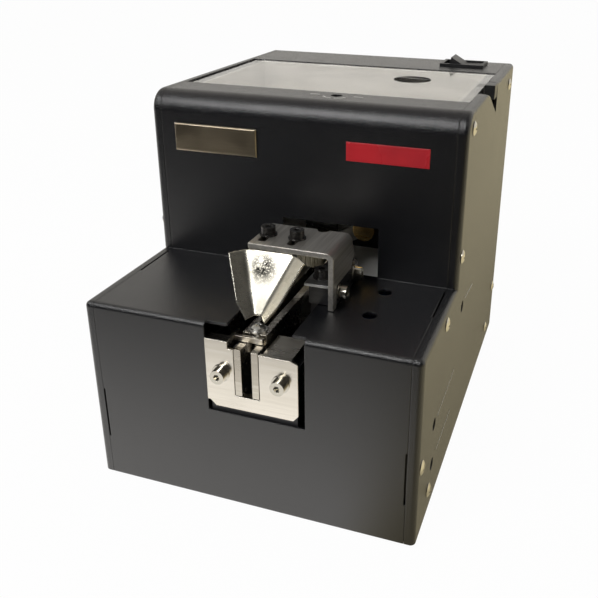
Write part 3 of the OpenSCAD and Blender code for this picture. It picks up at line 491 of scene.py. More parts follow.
FINISHES: dict[str, Finish] = {
    "black_paint": PowderCoat(
        colour=(0.0028, 0.0031, 0.0048), shade=(0.006, 0.0062, 0.008), roughness=0.26,
        spread=0.012, scale=2200.0, depth=0.00006, reach=0.0005, wear=0.25,
        worn_colour=(0.1, 0.1, 0.1), dust=0.02, ior=1.7,
    ),
    "zinc_sheet": RolledMetal(
        colour=(0.58, 0.58, 0.57), shade=(0.4, 0.41, 0.42), roughness=0.36, spread=0.1,
        metallic=1.0, scale=260.0, depth=0.00001, dust=0.15,
    ),
    # A paler, barely metallic copy of zinc_sheet: painted light, so the inside of the hopper under
    # the closed lid reads lit.
    "hopper_painted_light_sheet": RolledMetal(
        colour=(0.86, 0.84, 0.8), shade=(0.78, 0.76, 0.72), roughness=0.5, spread=0.05,
        metallic=0.15, scale=260.0, depth=0.00001, dust=0.1,
    ),
    "screw_plate": RolledMetal(
        colour=(0.72, 0.71, 0.68), shade=(0.66, 0.65, 0.62), roughness=0.3, spread=0.03,
        metallic=1.0, scale=500.0, depth=0.0000003, reach=0.0002,
    ),
    "rubber": MouldedPlastic(
        colour=(0.018, 0.018, 0.018), shade=(0.03, 0.03, 0.029), roughness=0.75, spread=0.1,
        scale=900.0, depth=0.00004, dust=0.3,
    ),
    "bright_steel": RolledMetal(
        colour=(0.7, 0.67, 0.59), shade=(0.6, 0.57, 0.5), roughness=0.2, spread=0.05,
        metallic=1.0, scale=900.0, depth=0.000001, reach=0.00015,
    ),
    "black_oxide": RolledMetal(
        colour=(0.05, 0.048, 0.047), shade=(0.09, 0.085, 0.08), roughness=0.3, spread=0.1,
        metallic=0.9, scale=1200.0, depth=0.000006, reach=0.0001, wear=0.7,
        worn_colour=(0.5, 0.48, 0.46),
    ),
    "clear_acrylic": ClearSheet(
        colour=(0.9, 0.88, 0.84), shade=(0.86, 0.84, 0.8), roughness=0.06, spread=0.05,
        scale=700.0, depth=0.000001, ior=1.49,
    ),
    "black_plastic": MouldedPlastic(
        colour=(0.014, 0.014, 0.015), shade=(0.022, 0.022, 0.023), roughness=0.4, spread=0.08,
        scale=2400.0, depth=0.00002,
    ),
    "blue_plastic": MouldedPlastic(
        colour=(0.03, 0.1, 0.32), shade=(0.04, 0.14, 0.4), roughness=0.42, spread=0.08,
        scale=1800.0, depth=0.00001,
    ),
    "satin_steel": RolledMetal(
        colour=(0.62, 0.6, 0.56), shade=(0.36, 0.345, 0.32), roughness=0.38, spread=0.05,
        metallic=0.88, scale=700.0, depth=0.00001, reach=0.0006, wear=0.8,
        worn_colour=(0.85, 0.8, 0.7), streaks=Streaks.ALONG_Y,
    ),
    "steel_part": RolledMetal(
        colour=(0.4, 0.39, 0.375), shade=(0.28, 0.275, 0.265), roughness=0.3, spread=0.08,
        metallic=1.0, scale=700.0, depth=0.000008, reach=0.0004, wear=0.5,
        worn_colour=(0.8, 0.76, 0.68),
    ),
    "gear_plastic": MouldedPlastic(
        colour=(0.74, 0.71, 0.62), shade=(0.8, 0.77, 0.7), roughness=0.45, spread=0.08,
        scale=1800.0, depth=0.00001,
    ),
    "brass": RolledMetal(
        colour=(0.72, 0.5, 0.2), shade=(0.55, 0.36, 0.13), roughness=0.25, spread=0.08,
        metallic=1.0, scale=900.0, depth=0.000006, reach=0.0002,
    ),
    "nickel_plate": RolledMetal(
        colour=(0.83, 0.79, 0.71), shade=(0.74, 0.69, 0.6), roughness=0.24, spread=0.06,
        metallic=1.0, scale=420.0, depth=0.000004, reach=0.0003,
    ),
    "rail_steel": RolledMetal(
        colour=(0.72, 0.68, 0.6), shade=(0.55, 0.51, 0.44), roughness=0.24, spread=0.08,
        metallic=1.0, scale=600.0, depth=0.000006, reach=0.0002,
    ),
    "black_anodised": RolledMetal(
        colour=(0.016, 0.016, 0.018), shade=(0.03, 0.03, 0.033), roughness=0.34, spread=0.08,
        metallic=0.3, scale=900.0, depth=0.00001, reach=0.0003, wear=0.5,
        worn_colour=(0.3, 0.29, 0.28),
    ),
    "copper_coil": RolledMetal(
        colour=(0.5, 0.22, 0.08), shade=(0.3, 0.12, 0.04), roughness=0.3, spread=0.08,
        metallic=0.9, scale=1500.0, depth=0.00006, streaks=Streaks.ALONG_X,
    ),
    "guide_chrome": StainedChrome(
        colour=(0.7, 0.67, 0.59), shade=(0.58, 0.55, 0.46), roughness=0.26, spread=0.05,
        metallic=1.0, scale=500.0, depth=0.000006, reach=0.0003, wear=0.6,
        worn_colour=(0.95, 0.93, 0.88),
    ),
    "brush_fibre": MouldedPlastic(
        colour=(0.55, 0.5, 0.36), shade=(0.66, 0.6, 0.46), roughness=0.5, spread=0.1,
        scale=3000.0, depth=0.00001,
    ),
    "board_green": CircuitBoard(
        colour=(0.012, 0.11, 0.05), shade=(0.03, 0.2, 0.09), roughness=0.25, spread=0.06,
        scale=600.0, depth=0.00002,
    ),
    "knob_white": MouldedPlastic(
        colour=(0.72, 0.71, 0.66), shade=(0.78, 0.77, 0.73), roughness=0.4, spread=0.06,
        scale=1800.0, depth=0.00001,
    ),
    "badge_metal": RolledMetal(
        colour=(0.56, 0.47, 0.34), shade=(0.44, 0.37, 0.26), roughness=0.34, spread=0.06,
        metallic=1.0, scale=500.0, depth=0.00001, reach=0.0005, wear=1.0,
        worn_colour=(0.9, 0.86, 0.78),
    ),
    "label_red": MouldedPlastic(
        colour=(0.62, 0.02, 0.03), shade=(0.5, 0.015, 0.025), roughness=0.3, spread=0.05,
        scale=1200.0, depth=0.00001,
    ),
}


class Wardrobe:
    """Makes each slot's material once."""

    def __init__(self) -> None:
        """Starts empty."""
        self.made: dict[str, bpy.types.Material] = {}

    def material(self, slot: str) -> bpy.types.Material:
        """Returns the material of a slot."""
        if slot not in self.made:
            self.made[slot] = FINISHES[slot].make(slot)
        return self.made[slot]

    def dress_node(self, node: str, slot: str) -> None:
        """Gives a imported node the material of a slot."""
        holder = frame["nodes"][node]
        if not holder.material_slots:
            holder.data.materials.append(None)
        for place in holder.material_slots:
            place.material = self.material(slot)


WARDROBE = Wardrobe()


def grid_faces(rows: int, columns: int, wrap: bool = False) -> np.ndarray:
    """Lists the four-sided faces of a grid of points.

    The corners of face (i, j) are points (i, j), (i, j + 1), (i + 1, j + 1) and (i + 1, j).

    Args:
        rows: Points along the first direction.
        columns: Points along the second direction.
        wrap: Whether the last column joins the first.

    Returns:
        An array of four point numbers a face.
    """
    span = columns if wrap else columns - 1
    i, j = np.meshgrid(np.arange(rows - 1), np.arange(span), indexing="ij")
    k = (j + 1) % columns
    corners = (i * columns + j, i * columns + k, (i + 1) * columns + k, (i + 1) * columns + j)
    return np.stack([c.ravel() for c in corners], axis=1)


def mesh_piece(
    name: str, points: Grid, faces: np.ndarray | list, slot: str, body: str
) -> bpy.types.Object:
    """Puts worked-out points and faces in a new piece.

    Args:
        name: The piece's name.
        points: Its points, three numbers each.
        faces: The point numbers of each face.
        slot: The slot that its finish comes from.
        body: The body that it moves with.

    Returns:
        The new piece, at the origin, with its place in its mesh.
    """
    mesh = bpy.data.meshes.new(name)
    corners = np.asarray(points, float).reshape(-1, 3).tolist()
    mesh.from_pydata(corners, [], [list(map(int, face)) for face in faces])
    mesh.update()
    piece = bpy.data.objects.new(name, mesh)
    bpy.context.scene.collection.objects.link(piece)
    mesh.materials.append(WARDROBE.material(slot))
    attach(piece, body)
    LOG.info("made %s: %d faces", name, len(mesh.polygons))
    return piece


def add_modifier(piece: bpy.types.Object, kind: str, **settings: object) -> bpy.types.Modifier:
    """Adds a modifier with its settings and returns it."""
    modifier = piece.modifiers.new(kind.lower(), kind)
    for name, value in settings.items():
        setattr(modifier, name, value)
    return modifier


def thicken(piece: bpy.types.Object, thickness: float, rim: float) -> None:
    """Gives a face its thickness behind it, and softens its rims.

    Args:
        piece: The piece that holds the front face.
        thickness: The sheet's thickness.
        rim: The rounding of its edges.
    """
    add_modifier(piece, "SOLIDIFY", thickness=thickness, offset=-1.0, use_even_offset=True)
    sharp = math.radians(50)
    add_modifier(piece, "BEVEL", width=rim, segments=2, limit_method="ANGLE", angle_limit=sharp)
    for face in piece.data.polygons:
        face.use_smooth = True


def quadratic(start: Grid, corner: Grid, end: Grid, share: Grid) -> Grid:
    """Returns points on the quadratic curve from start to end that bends at corner."""
    return start * (1 - share) ** 2 + corner * 2 * share * (1 - share) + end * share**2


def outward(piece: bpy.types.Object) -> None:
    """Turns the faces of a closed piece outwards."""
    shape = bmesh.new()
    shape.from_mesh(piece.data)
    bmesh.ops.recalc_face_normals(shape, faces=shape.faces)
    shape.to_mesh(piece.data)
    shape.free()


@dataclass
class SubAssembly:
    """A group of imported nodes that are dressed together, and what is shaped over them.

    Attributes:
        nodes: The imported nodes.
        special: The nodes whose finish differs from their slot's usual one.
    """

    nodes: tuple[str, ...] = ()
    special: dict[str, str] = field(default_factory=dict)

    def dress(self) -> None:
        """Gives each node its own finish, or its slot's."""
        slots = {part["node"]: part["material_slot"] for part in frame["record"]["subparts"]}
        for node in self.nodes:
            WARDROBE.dress_node(node, self.special.get(node, slots[node]))

    def shape(self) -> None:
        """Makes the group's new pieces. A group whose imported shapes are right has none."""


@dataclass
class Studio:
    """The floor, the light and the camera.

    Attributes:
        eye: Where the camera stands.
        azimuth: How far the camera stands round to the right, in degrees.
        elevation: How steeply it looks down, in degrees.
        roll: Its small tilt, in degrees.
        lens: Its focal length, on a 36 mm sensor.
        shift: How far the frame is moved off the lens's axis.
        back_light: The light that comes from behind and beside.
        front_light: The light that comes from in front.
        overhead: The share of it that comes from straight above.
        turn_band: Where the light passes from front to back, as the direction's Y.
        height_band: Where it falls off towards the top, as the direction's Z.
        warm: The backdrop's colour.
        softbox_place: Where the softbox hangs.
        softbox_size: Its width and height.
        softbox_power: Its power, in watts.
        aim_height: The height that it is turned to.
        floor_half: Half the floor's side.
        sheet_grey: The floor's own lightness.
        paper_share: How much of the floor that is seen is plain white, the rest being shadow.
        mirror_share: How much of it gloss shows as the painted reflection of a lit table.
        table_fade: Where the painted reflection of the table goes from dark to its painted pool of
            light, along Y.
        table_peak: The strength of that painted pool of light.
        side_edge: Where it passes from in front to beside the object, along X.
        painted_shadow_fade: Where the painted shadow of the object, beside it, lightens, along X.
        painted_shadow_levels: The strength at both ends of that stretch, lowest in the painted
            shadow next to the object.
        front_tint: Its colour in front.
        side_tint: Its colour beside the object.
    """

    eye: tuple[float, float, float] = (0.106283, -0.299382, 0.205917)
    azimuth: float = 18.7596
    elevation: float = 22.3847
    roll: float = 0.4506
    lens: float = 45.52
    shift: tuple[float, float] = (-0.0669, -0.0898)
    back_light: float = 0.78
    front_light: float = 0.03
    overhead: float = 0.45
    turn_band: tuple[float, float] = (-0.45, 0.1)
    height_band: tuple[float, float] = (0.45, 0.85)
    warm: Colour = (1.0, 0.965, 0.9)
    softbox_place: tuple[float, float, float] = (-0.30, -0.69, 0.83)
    softbox_size: tuple[float, float] = (0.56, 0.34)
    softbox_power: float = 6.0
    aim_height: float = 0.08
    floor_half: float = 6.0
    sheet_grey: float = 0.86
    paper_share: float = 0.975
    mirror_share: float = 0.97
    # The table glows for gloss only: a painted reflection, with a painted pool of light and a
    # painted shadow of the object.
    table_fade: tuple[float, float] = (-0.31, -0.11)
    table_peak: float = 1.25
    side_edge: tuple[float, float] = (0.03, 0.066)
    painted_shadow_fade: tuple[float, float] = (0.066, 0.17)
    painted_shadow_levels: tuple[float, float] = (0.36, 0.72)
    front_tint: Colour = (1.0, 0.975, 0.94)
    side_tint: Colour = (1.0, 0.88, 0.58)

    def build(self) -> None:
        """Sets up the view, the camera, the world, the softbox and the floor."""
        scene = bpy.context.scene
        scene.view_settings.view_transform = "Standard"
        self._camera(scene)
        self._world(scene)
        self._softbox()
        self._floor()

    def _camera(self, scene: bpy.types.Scene) -> None:
        """Stands the camera at its eye point, turned by its three angles."""
        a, e, r = (math.radians(v) for v in (self.azimuth, self.elevation, self.roll))
        ahead = Vector((-math.sin(a) * math.cos(e), math.cos(a) * math.cos(e), -math.sin(e)))
        right = Vector((math.cos(a), math.sin(a), 0.0))
        up = right.cross(ahead)
        side = math.cos(r) * right + math.sin(r) * up
        top = math.cos(r) * up - math.sin(r) * right
        data = bpy.data.cameras.new("camera")
        data.sensor_width, data.lens = 36.0, self.lens
        data.shift_x, data.shift_y = self.shift
        data.clip_start = 0.01
        camera = bpy.data.objects.new("camera", data)
        turn = Matrix((side, top, -ahead)).transposed().to_4x4()
        camera.matrix_world = Matrix.Translation(Vector(self.eye)) @ turn
        scene.collection.objects.link(camera)
        scene.camera = camera

    def _world(self, scene: bpy.types.Scene) -> None:
        """Lights from a bright low backdrop, dim in front; the eye and clear sheet see white."""
        world = bpy.data.worlds.new("studio")
        world.use_nodes = True
        world.node_tree.nodes.clear()
        graph = ShaderGraph(world.node_tree)
        way = graph.add("SeparateXYZ", {0: graph.add("TexCoord").outputs["Generated"]}).outputs
        behind = graph.ramp(way["Y"], *self.turn_band, self.front_light, self.back_light)
        height = graph.ramp(way["Z"], *self.height_band, 1.0, self.overhead)
        level = graph.times(behind, height)
        path = graph.add("LightPath").outputs
        seen = graph.math("MAXIMUM", path["Is Camera Ray"], path["Is Transmission Ray"])
        colour = graph.blend(seen, self.warm, WHITE)
        shader = graph.add("Background", {"Color": colour, "Strength": graph.mix(seen, level, 1.0)})
        output = graph.add("OutputWorld")
        graph.join(shader.outputs[0], output.inputs["Surface"])
        scene.world = world

    def _softbox(self) -> None:
        """Hangs a wide softbox above and in front, turned to the object."""
        data = bpy.data.lights.new("softbox", "AREA")
        data.shape, data.energy = "RECTANGLE", self.softbox_power
        data.size, data.size_y = self.softbox_size
        lamp = bpy.data.objects.new("softbox", data)
        lamp.location = self.softbox_place
        aim = Vector((0.0, 0.0, self.aim_height)) - lamp.location
        lamp.rotation_euler = aim.to_track_quat("-Z", "Y").to_euler()
        bpy.context.scene.collection.objects.link(lamp)

    def _floor(self) -> None:
        """Lays a white floor that keeps the object's shadow."""
        h = self.floor_half
        mesh = bpy.data.meshes.new("floor")
        mesh.from_pydata([(-h, -h, 0), (h, -h, 0), (h, h, 0), (-h, h, 0)], [], [(0, 1, 2, 3)])
        floor = bpy.data.objects.new("floor", mesh)
        bpy.context.scene.collection.objects.link(floor)
        mesh.materials.append(self._floor_material())

    def _floor_material(self) -> bpy.types.Material:
        """Makes the floor's material.

        The eye sees white paper with the shadow on it. Gloss sees a painted reflection of a table
        that glows: dark far in front, a painted pool of light close in front, and warm beside the
        object, where a painted shadow of the object darkens it.

        Returns:
            The material.
        """
        material = bpy.data.materials.new("floor")
        material.use_nodes = True
        material.node_tree.nodes.clear()
        graph = ShaderGraph(material.node_tree)
        path = graph.add("LightPath").outputs
        place = graph.add("SeparateXYZ", {0: graph.add("TexCoord").outputs["Object"]}).outputs
        seen = graph.math("MAXIMUM", path["Is Camera Ray"], path["Is Transmission Ray"])
        # painted pool of light close in front, in the glowing table that gloss sees
        near = graph.ramp(place["Y"], *self.table_fade, 0.0, self.table_peak)
        side = graph.ramp(place["X"], *self.side_edge)
        # painted shadow of the object beside it, darkest next to its side
        beside = graph.ramp(place["X"], *self.painted_shadow_fade, *self.painted_shadow_levels)
        strength = graph.times(near, graph.mix(side, 1.0, beside))
        tint = graph.blend(side, self.front_tint, self.side_tint)
        grey = (self.sheet_grey, self.sheet_grey, self.sheet_grey, 1.0)
        sheet = graph.add("BsdfDiffuse", {"Color": grey}).outputs[0]
        paper = graph.add("Emission", {"Color": (*WHITE, 1.0), "Strength": 1.0}).outputs[0]
        # the table glows but is no lamp: a painted reflection seen only by glossy rays
        table = graph.add("Emission", {"Color": tint, "Strength": strength}).outputs[0]
        white = graph.times(seen, self.paper_share)
        shown = graph.add("MixShader", {0: white, 1: sheet, 2: paper}).outputs[0]
        mirrored = graph.times(path["Is Glossy Ray"], self.mirror_share)
        whole = graph.add("MixShader", {0: mirrored, 1: shown, 2: table}).outputs[0]
        graph.join(whole, graph.add("OutputMaterial").inputs["Surface"])
        return material


@dataclass
class FrontUnit(SubAssembly):
    """The front plate, the holder, and the bent bright sheet that leads the bit onto the screw.

    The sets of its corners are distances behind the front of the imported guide's box, and below
    its top or above its foot.

    Attributes:
        thick: The sheet's thickness.
        rim: The rounding of its edges.
        fold: The reach of the round at each fold.
        top_half: Half the middle face's width at its top.
        foot_half: Half its width at its foot.
        kink_half: Half the width across the kinks in the wings' edges.
        toe_half: Half the width across the wings' lowest points.
        top_set: Where the folds' upper ends lie: behind the front, below the top.
        tip_set: Where the wings' tips lie: behind the front, below the top.
        foot_set: Where the folds' lower ends lie: behind the front, above the foot.
        kink_set: Where the kinks lie: behind the front, above the foot.
        toe_set: Where the toes lie: behind the front, above the foot.
        rows: Points down the sheet.
        columns: Points across a wing, round a fold and across half the middle face.
        kink_row: The share of the rows that lie above the kink.
        tab_start: How far down the middle face the tab begins.
        tab_corner: How far behind the folds' upper ends its bend's corner lies.
        tab_level: How far behind them it lies level.
        tab_inset: How much narrower it is than the middle face, on each side.
        tab_grid: Points round its bend and across it.
    """

    nodes: tuple[str, ...] = (
        "front_plate", "front_plate_screws", "bit_guide", "guide_bracket", "bracket_screws",
        "holder_block", "clamp_plate", "clamp_bolts", "holder_plate", "holder_screw",
    )
    special: dict[str, str] = field(default_factory=lambda: {"guide_bracket": "satin_steel"})
    thick: float = 0.9 * MM
    rim: float = 0.12 * MM
    fold: float = 1.6 * MM
    top_half: float = 9.7 * MM
    foot_half: float = 1.25 * MM
    kink_half: float = 8.1 * MM
    toe_half: float = 3.6 * MM
    top_set: tuple[float, float] = (15.9 * MM, 0.7 * MM)
    tip_set: tuple[float, float] = (11.6 * MM, 1.1 * MM)
    foot_set: tuple[float, float] = (3.3 * MM, 1.0 * MM)
    kink_set: tuple[float, float] = (2.8 * MM, 5.5 * MM)
    toe_set: tuple[float, float] = (0.6 * MM, 0.0)
    rows: int = 41
    columns: tuple[int, int, int] = (9, 9, 6)
    kink_row: float = 0.78
    tab_start: float = 0.5 * MM
    tab_corner: float = 0.3 * MM
    tab_level: float = 1.5 * MM
    tab_inset: float = 1.0 * MM
    tab_grid: tuple[int, int] = (8, 5)

    def _corners(self) -> dict[str, np.ndarray]:
        """Places the left half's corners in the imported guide's box.

        Kink and toe are dropped square onto the plane through foot, top and tip, so that the
        wing is flat.

        Returns:
            The corners by name, and a point on the middle line.
        """
        low, high = (np.array(corner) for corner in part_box("bit_guide"))
        middle, half = (low[0] + high[0]) / 2, (high[0] - low[0]) / 2
        spots = {
            "top": (self.top_half, low[1] + self.top_set[0], high[2] - self.top_set[1]),
            "foot": (self.foot_half, low[1] + self.foot_set[0], low[2] + self.foot_set[1]),
            "tip": (half, low[1] + self.tip_set[0], high[2] - self.tip_set[1]),
            "kink": (self.kink_half, low[1] + self.kink_set[0], low[2] + self.kink_set[1]),
            "toe": (self.toe_half, low[1] + self.toe_set[0], low[2] + self.toe_set[1]),
        }
        points = {name: np.array((middle - x, y, z)) for name, (x, y, z) in spots.items()}
        foot = points["foot"]
        across = np.cross(points["top"] - foot, points["tip"] - foot)
        across /= np.linalg.norm(across)
        for name in ("kink", "toe"):
            points[name] = points[name] - across * np.dot(points[name] - foot, across)
        points["middle"] = np.array((middle, 0.0, 0.0))
        return points

    def _face(self) -> Grid:
        """Works out the sheet's front face.

        Each row runs from the left wing's edge straight to its fold, round the fold on a quadratic
        curve, and straight to the middle line; the right half is its mirror.

        Returns:
            Points as rows by columns by three.
        """
        spot = self._corners()
        down = np.linspace(0.0, 1.0, self.rows)[:, None]
        fold = spot["top"] + (spot["foot"] - spot["top"]) * down
        past = (down - self.kink_row) / (1 - self.kink_row)
        upper = spot["tip"] + (spot["kink"] - spot["tip"]) * (down / self.kink_row)
        lower = spot["kink"] + (spot["toe"] - spot["kink"]) * past
        edge = np.where(down <= self.kink_row, upper, lower)
        centre = fold.copy()
        centre[:, 0] = spot["middle"][0]
        inward, outward_way = centre - fold, edge - fold
        inner_length = np.linalg.norm(inward, axis=1, keepdims=True)
        outer_length = np.linalg.norm(outward_way, axis=1, keepdims=True)
        reach = np.minimum(self.fold, 0.45 * inner_length)
        start = fold + outward_way / outer_length * reach
        end = fold + inward / inner_length * reach
        wing_steps, turn_steps, flat_steps = self.columns
        wing = np.linspace(0.0, 1.0, wing_steps)[None, :, None]
        turn = np.linspace(0.0, 1.0, turn_steps)[None, 1:, None]
        flat = np.linspace(0.0, 1.0, flat_steps)[None, 1:, None]
        left = np.concatenate((
            edge[:, None] + (start - edge)[:, None] * wing,
            quadratic(start[:, None], fold[:, None], end[:, None], turn),
            end[:, None] + (centre - end)[:, None] * flat,
        ), axis=1)
        right = left[:, -2::-1].copy()
        right[..., 0] = 2 * spot["middle"][0] - right[..., 0]
        return np.concatenate((left, right), axis=1)

    def _tab(self) -> Grid:
        """Works out the tab's upper face.

        Its path runs up the middle face's last stretch, round a quadratic bend and level to the
        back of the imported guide's box, and is the same all the way across.

        Returns:
            Points as rows by columns by three.
        """
        _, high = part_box("bit_guide")
        spot = self._corners()
        slope = (spot["foot"] - spot["top"])[1:]
        slope = slope / np.linalg.norm(slope)
        begin = spot["top"][1:] + slope * self.tab_start
        corner = np.array((spot["top"][1] + self.tab_corner, high.z))
        level = np.array((spot["top"][1] + self.tab_level, high.z))
        share = np.linspace(0.0, 1.0, self.tab_grid[0])[:, None]
        back = np.array([(high.y, high.z)])
        bend = quadratic(begin, corner, level, share)
        path = np.concatenate((bend, (level + back) / 2, back))
        half = self.top_half - self.tab_inset
        across = spot["middle"][0] + np.linspace(-1.0, 1.0, self.tab_grid[1]) * half
        points = np.empty((len(path), len(across), 3))
        points[..., 0] = across[None, :]
        points[..., 1:] = path[:, None]
        return points

    def shape(self) -> None:
        """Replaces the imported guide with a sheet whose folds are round, and its tab."""
        face = self._face()
        faces = grid_faces(*face.shape[:2])[:, ::-1]
        sheet = mesh_piece("bit_guide_sheet", face, faces, "guide_chrome", "housing")
        tab = self._tab()
        faces = grid_faces(*tab.shape[:2])
        strip = mesh_piece("bit_guide_tab", tab, faces, "guide_chrome", "housing")
        for piece in (sheet, strip):
            thicken(piece, self.thick, self.rim)
        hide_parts("bit_guide")


@dataclass
class BrushUnit(SubAssembly):
    """The swinging brush on its shaft.

    Attributes:
        tufts: Tufts along the brush and across it.
        each: Bristles in one tuft.
        width: A bristle's width at its root.
        taper: The number that the width's loss at the tip is one over.
        splay: How far bristles stray within their tuft, as a share of the tufts' spacing.
        lean: How far the tips stray.
        uneven: The share by which the shortest bristle falls short.
        rings: Rings of points down a bristle.
        seed: The seed of their small differences.
    """

    nodes: tuple[str, ...] = (
        "brush_shaft", "brush_hub", "brush_arm", "brush_bristles", "brush_bearing",
    )
    tufts: tuple[int, int] = (11, 4)
    each: int = 9
    width: float = 0.22 * MM
    taper: float = 3.0
    splay: float = 0.16
    lean: float = 0.35 * MM
    uneven: float = 0.04
    rings: int = 4
    seed: int = 11

    def shape(self) -> None:
        """Replaces the solid bristle block with single bristles.

        Each bristle is a four-sided rod of a few rings. Its side shift grows with the square of
        the way down, and its width shrinks evenly to its tip.
        """
        low, high = (np.array(corner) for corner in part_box("brush_bristles"))
        chance = np.random.default_rng(self.seed)
        tufts = np.array(self.tufts)
        count = self.tufts[0] * self.tufts[1] * self.each
        tuft = np.arange(count) // self.each
        share = np.stack((tuft % self.tufts[0], tuft // self.tufts[0]), axis=1) + 0.5
        share = share / tufts
        spread = chance.normal(0.0, self.splay, (count, 2)) / tufts
        inset = self.width
        room = (high - low - 2 * inset)[:2]
        root = low[:2] + inset + np.clip(share + spread, 0.0, 1.0) * room
        lean = chance.normal(0.0, self.lean, (count, 2))
        down = np.linspace(0.0, 1.0, self.rings)
        square = np.array(((-1, -1), (1, -1), (1, 1), (-1, 1))) * 0.5
        thin = self.width * (1 - down / self.taper)
        centre = root[:, None] + lean[:, None] * (down**2)[None, :, None]
        centre = np.clip(centre, low[:2] + inset, high[:2] - inset)
        points = np.empty((count, self.rings, 4, 3))
        points[..., :2] = centre[:, :, None] + square[None, None] * thin[None, :, None, None]
        length = (high[2] - low[2]) * (1 - self.uneven * chance.random(count))
        points[..., 2] = (high[2] - length[:, None] * down[None, :])[:, :, None]
        last = 4 * self.rings - 1
        caps = [[0, 1, 2, 3], [last, last - 1, last - 2, last - 3]]
        rod = np.concatenate((grid_faces(self.rings, 4, wrap=True), caps))
        starts = 4 * self.rings * np.arange(count)
        faces = (rod[None] + starts[:, None, None]).reshape(-1, 4)
        piece = mesh_piece("bristle_tufts", points, faces, "brush_fibre", "brush")
        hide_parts("brush_bristles")


@dataclass
class Housing(SubAssembly):
    """The folded panels, their screws and feet, the bare plates and the printed strokes.

    The strokes are plain: rules beside the trimmers, and turning marks and bars at the gate lock.

    Attributes:
        badge_bevel: The width of the badge's slanted rim.
        label_bevel: The width of the label's rounded rim.
        bevel_depth: How much of a plate's thickness its rim falls by.
        rim_steps: Points across a rim.
        face_steps: Points along a plate's face, its ends among them.
        ink: The strokes' slot.
        ink_thick: How far the ink stands proud.
        stand_off: How far it stands off its surface.
        rules: The ends of each side rule, as Y and Z.
        rule_width: A rule's width.
        turn_radius: The radius of the turning marks round the lock's hole.
        turns: The start and end of each turning mark, in degrees; it points at its start.
        turn_width: A turning mark's width.
        head_share: The share of a turning mark that its head takes.
        head_widths: The head's widths at its foot and its point.
        bar_reach: How far the bars' middles lie from the lock's.
        bar_half: Half a bar's length.
        bar_width: A bar's width.
        points_along: Points along a rule, a turning mark and a bar.
    """

    nodes: tuple[str, ...] = (
        "front_shell", "left_panel", "right_panel", "rear_cover", "base_plate", "rubber_feet",
        "left_panel_screws", "right_panel_screws", "badge_plate", "label_plate",
    )
    badge_bevel: float = 0.55 * MM
    label_bevel: float = 0.18 * MM
    bevel_depth: float = 0.6
    rim_steps: int = 5
    face_steps: int = 9
    ink: str = "knob_white"
    ink_thick: float = 0.03 * MM
    stand_off: float = 0.005 * MM
    rules: tuple[tuple[tuple[float, float], tuple[float, float]], ...] = (
        ((0.005, 0.064), (-0.014, 0.066)),
        ((-0.029, 0.040), (-0.061, 0.0385)),
        ((-0.0324, 0.0224), (-0.0594, 0.0218)),
    )
    rule_width: float = 0.5 * MM
    turn_radius: float = 5.2 * MM
    turns: tuple[tuple[float, float], ...] = ((205.0, 262.0), (335.0, 278.0))
    turn_width: float = 0.55 * MM
    head_share: float = 0.28
    head_widths: tuple[float, float] = (1.7 * MM, 0.02 * MM)
    bar_reach: float = 9.0 * MM
    bar_half: float = 2.0 * MM
    bar_width: float = 0.7 * MM
    points_along: tuple[int, int, int] = (6, 15, 4)

    def _spaced(self, low: float, high: float, bevel: float) -> np.ndarray:
        """Places points across a plate, close together on both rims.

        Args:
            low: The plate's lower end.
            high: Its upper end.
            bevel: The width of its rim.

        Returns:
            The places, with each end given twice: on the wall and on the face.
        """
        steps = np.concatenate(([0.0], np.linspace(0.0, bevel, self.rim_steps)))
        inner = np.linspace(low + bevel, high - bevel, self.face_steps)[1:-1]
        return np.concatenate((low + steps, inner, high - steps[::-1]))

    def _plate(self, node: str, name: str, slot: str, bevel: float) -> None:
        """Replaces a packed plate with one whose face falls away to its rim.

        The face is a grid in X and Z. Its fall is the bevel's depth times one less the eased
        distance to the nearest side; the outermost ring goes back to the wall.

        Args:
            node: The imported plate.
            name: The new piece's name.
            slot: The slot that its finish comes from.
            bevel: The width of the rim.
        """
        low, high = (np.array(corner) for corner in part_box(node))
        x, z = (self._spaced(low[axis], high[axis], bevel) for axis in (0, 2))
        grid_x, grid_z = np.meshgrid(x, z)
        sides = (grid_x - low[0], high[0] - grid_x, grid_z - low[2], high[2] - grid_z)
        ease = np.clip(np.minimum.reduce(sides) / bevel, 0.0, 1.0)
        depth = low[1] + (high[1] - low[1]) * self.bevel_depth * (1 - ease * (2 - ease))
        rim = np.zeros(grid_x.shape, bool)
        rim[[0, -1]] = True
        rim[:, [0, -1]] = True
        depth[rim] = high[1]
        points = np.stack((grid_x, depth, grid_z), axis=-1)
        rows, columns = grid_x.shape
        number = np.arange(rows * columns).reshape(rows, columns)
        ring = (number[0], number[1:, -1], number[-1, -2::-1], number[-2:0:-1, 0])
        back = np.concatenate(ring)[::-1].tolist()
        faces = [*grid_faces(rows, columns).tolist(), back]
        piece = mesh_piece(name, points, faces, slot, "housing")
        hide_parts(node)

    def _stroke(self, name: str, path: Grid, up: Direction, widths: np.ndarray) -> None:
        """Lays a flat stroke along a path.

        At each point of the path the stroke's four corners are half its width to each side and its
        thickness above; the sides lie along the cross product of the path's direction and up.

        Args:
            name: The piece's name.
            path: Points that the stroke follows.
            up: The surface's outward direction.
            widths: The stroke's width at each point.
        """
        ahead = np.gradient(path, axis=0)
        side = np.cross(ahead, up)
        side /= np.linalg.norm(side, axis=1, keepdims=True)
        offset = side * widths[:, None] / 2
        lift = np.array(up) * self.ink_thick
        edges = (path - offset, path + offset, path + offset + lift, path - offset + lift)
        points = np.stack(edges, axis=1)
        last = 4 * (len(path) - 1)
        caps = [[3, 2, 1, 0], [last, last + 1, last + 2, last + 3]]
        faces = grid_faces(len(path), 4, wrap=True).tolist() + caps
        outward(mesh_piece(name, points, faces, self.ink, "housing"))

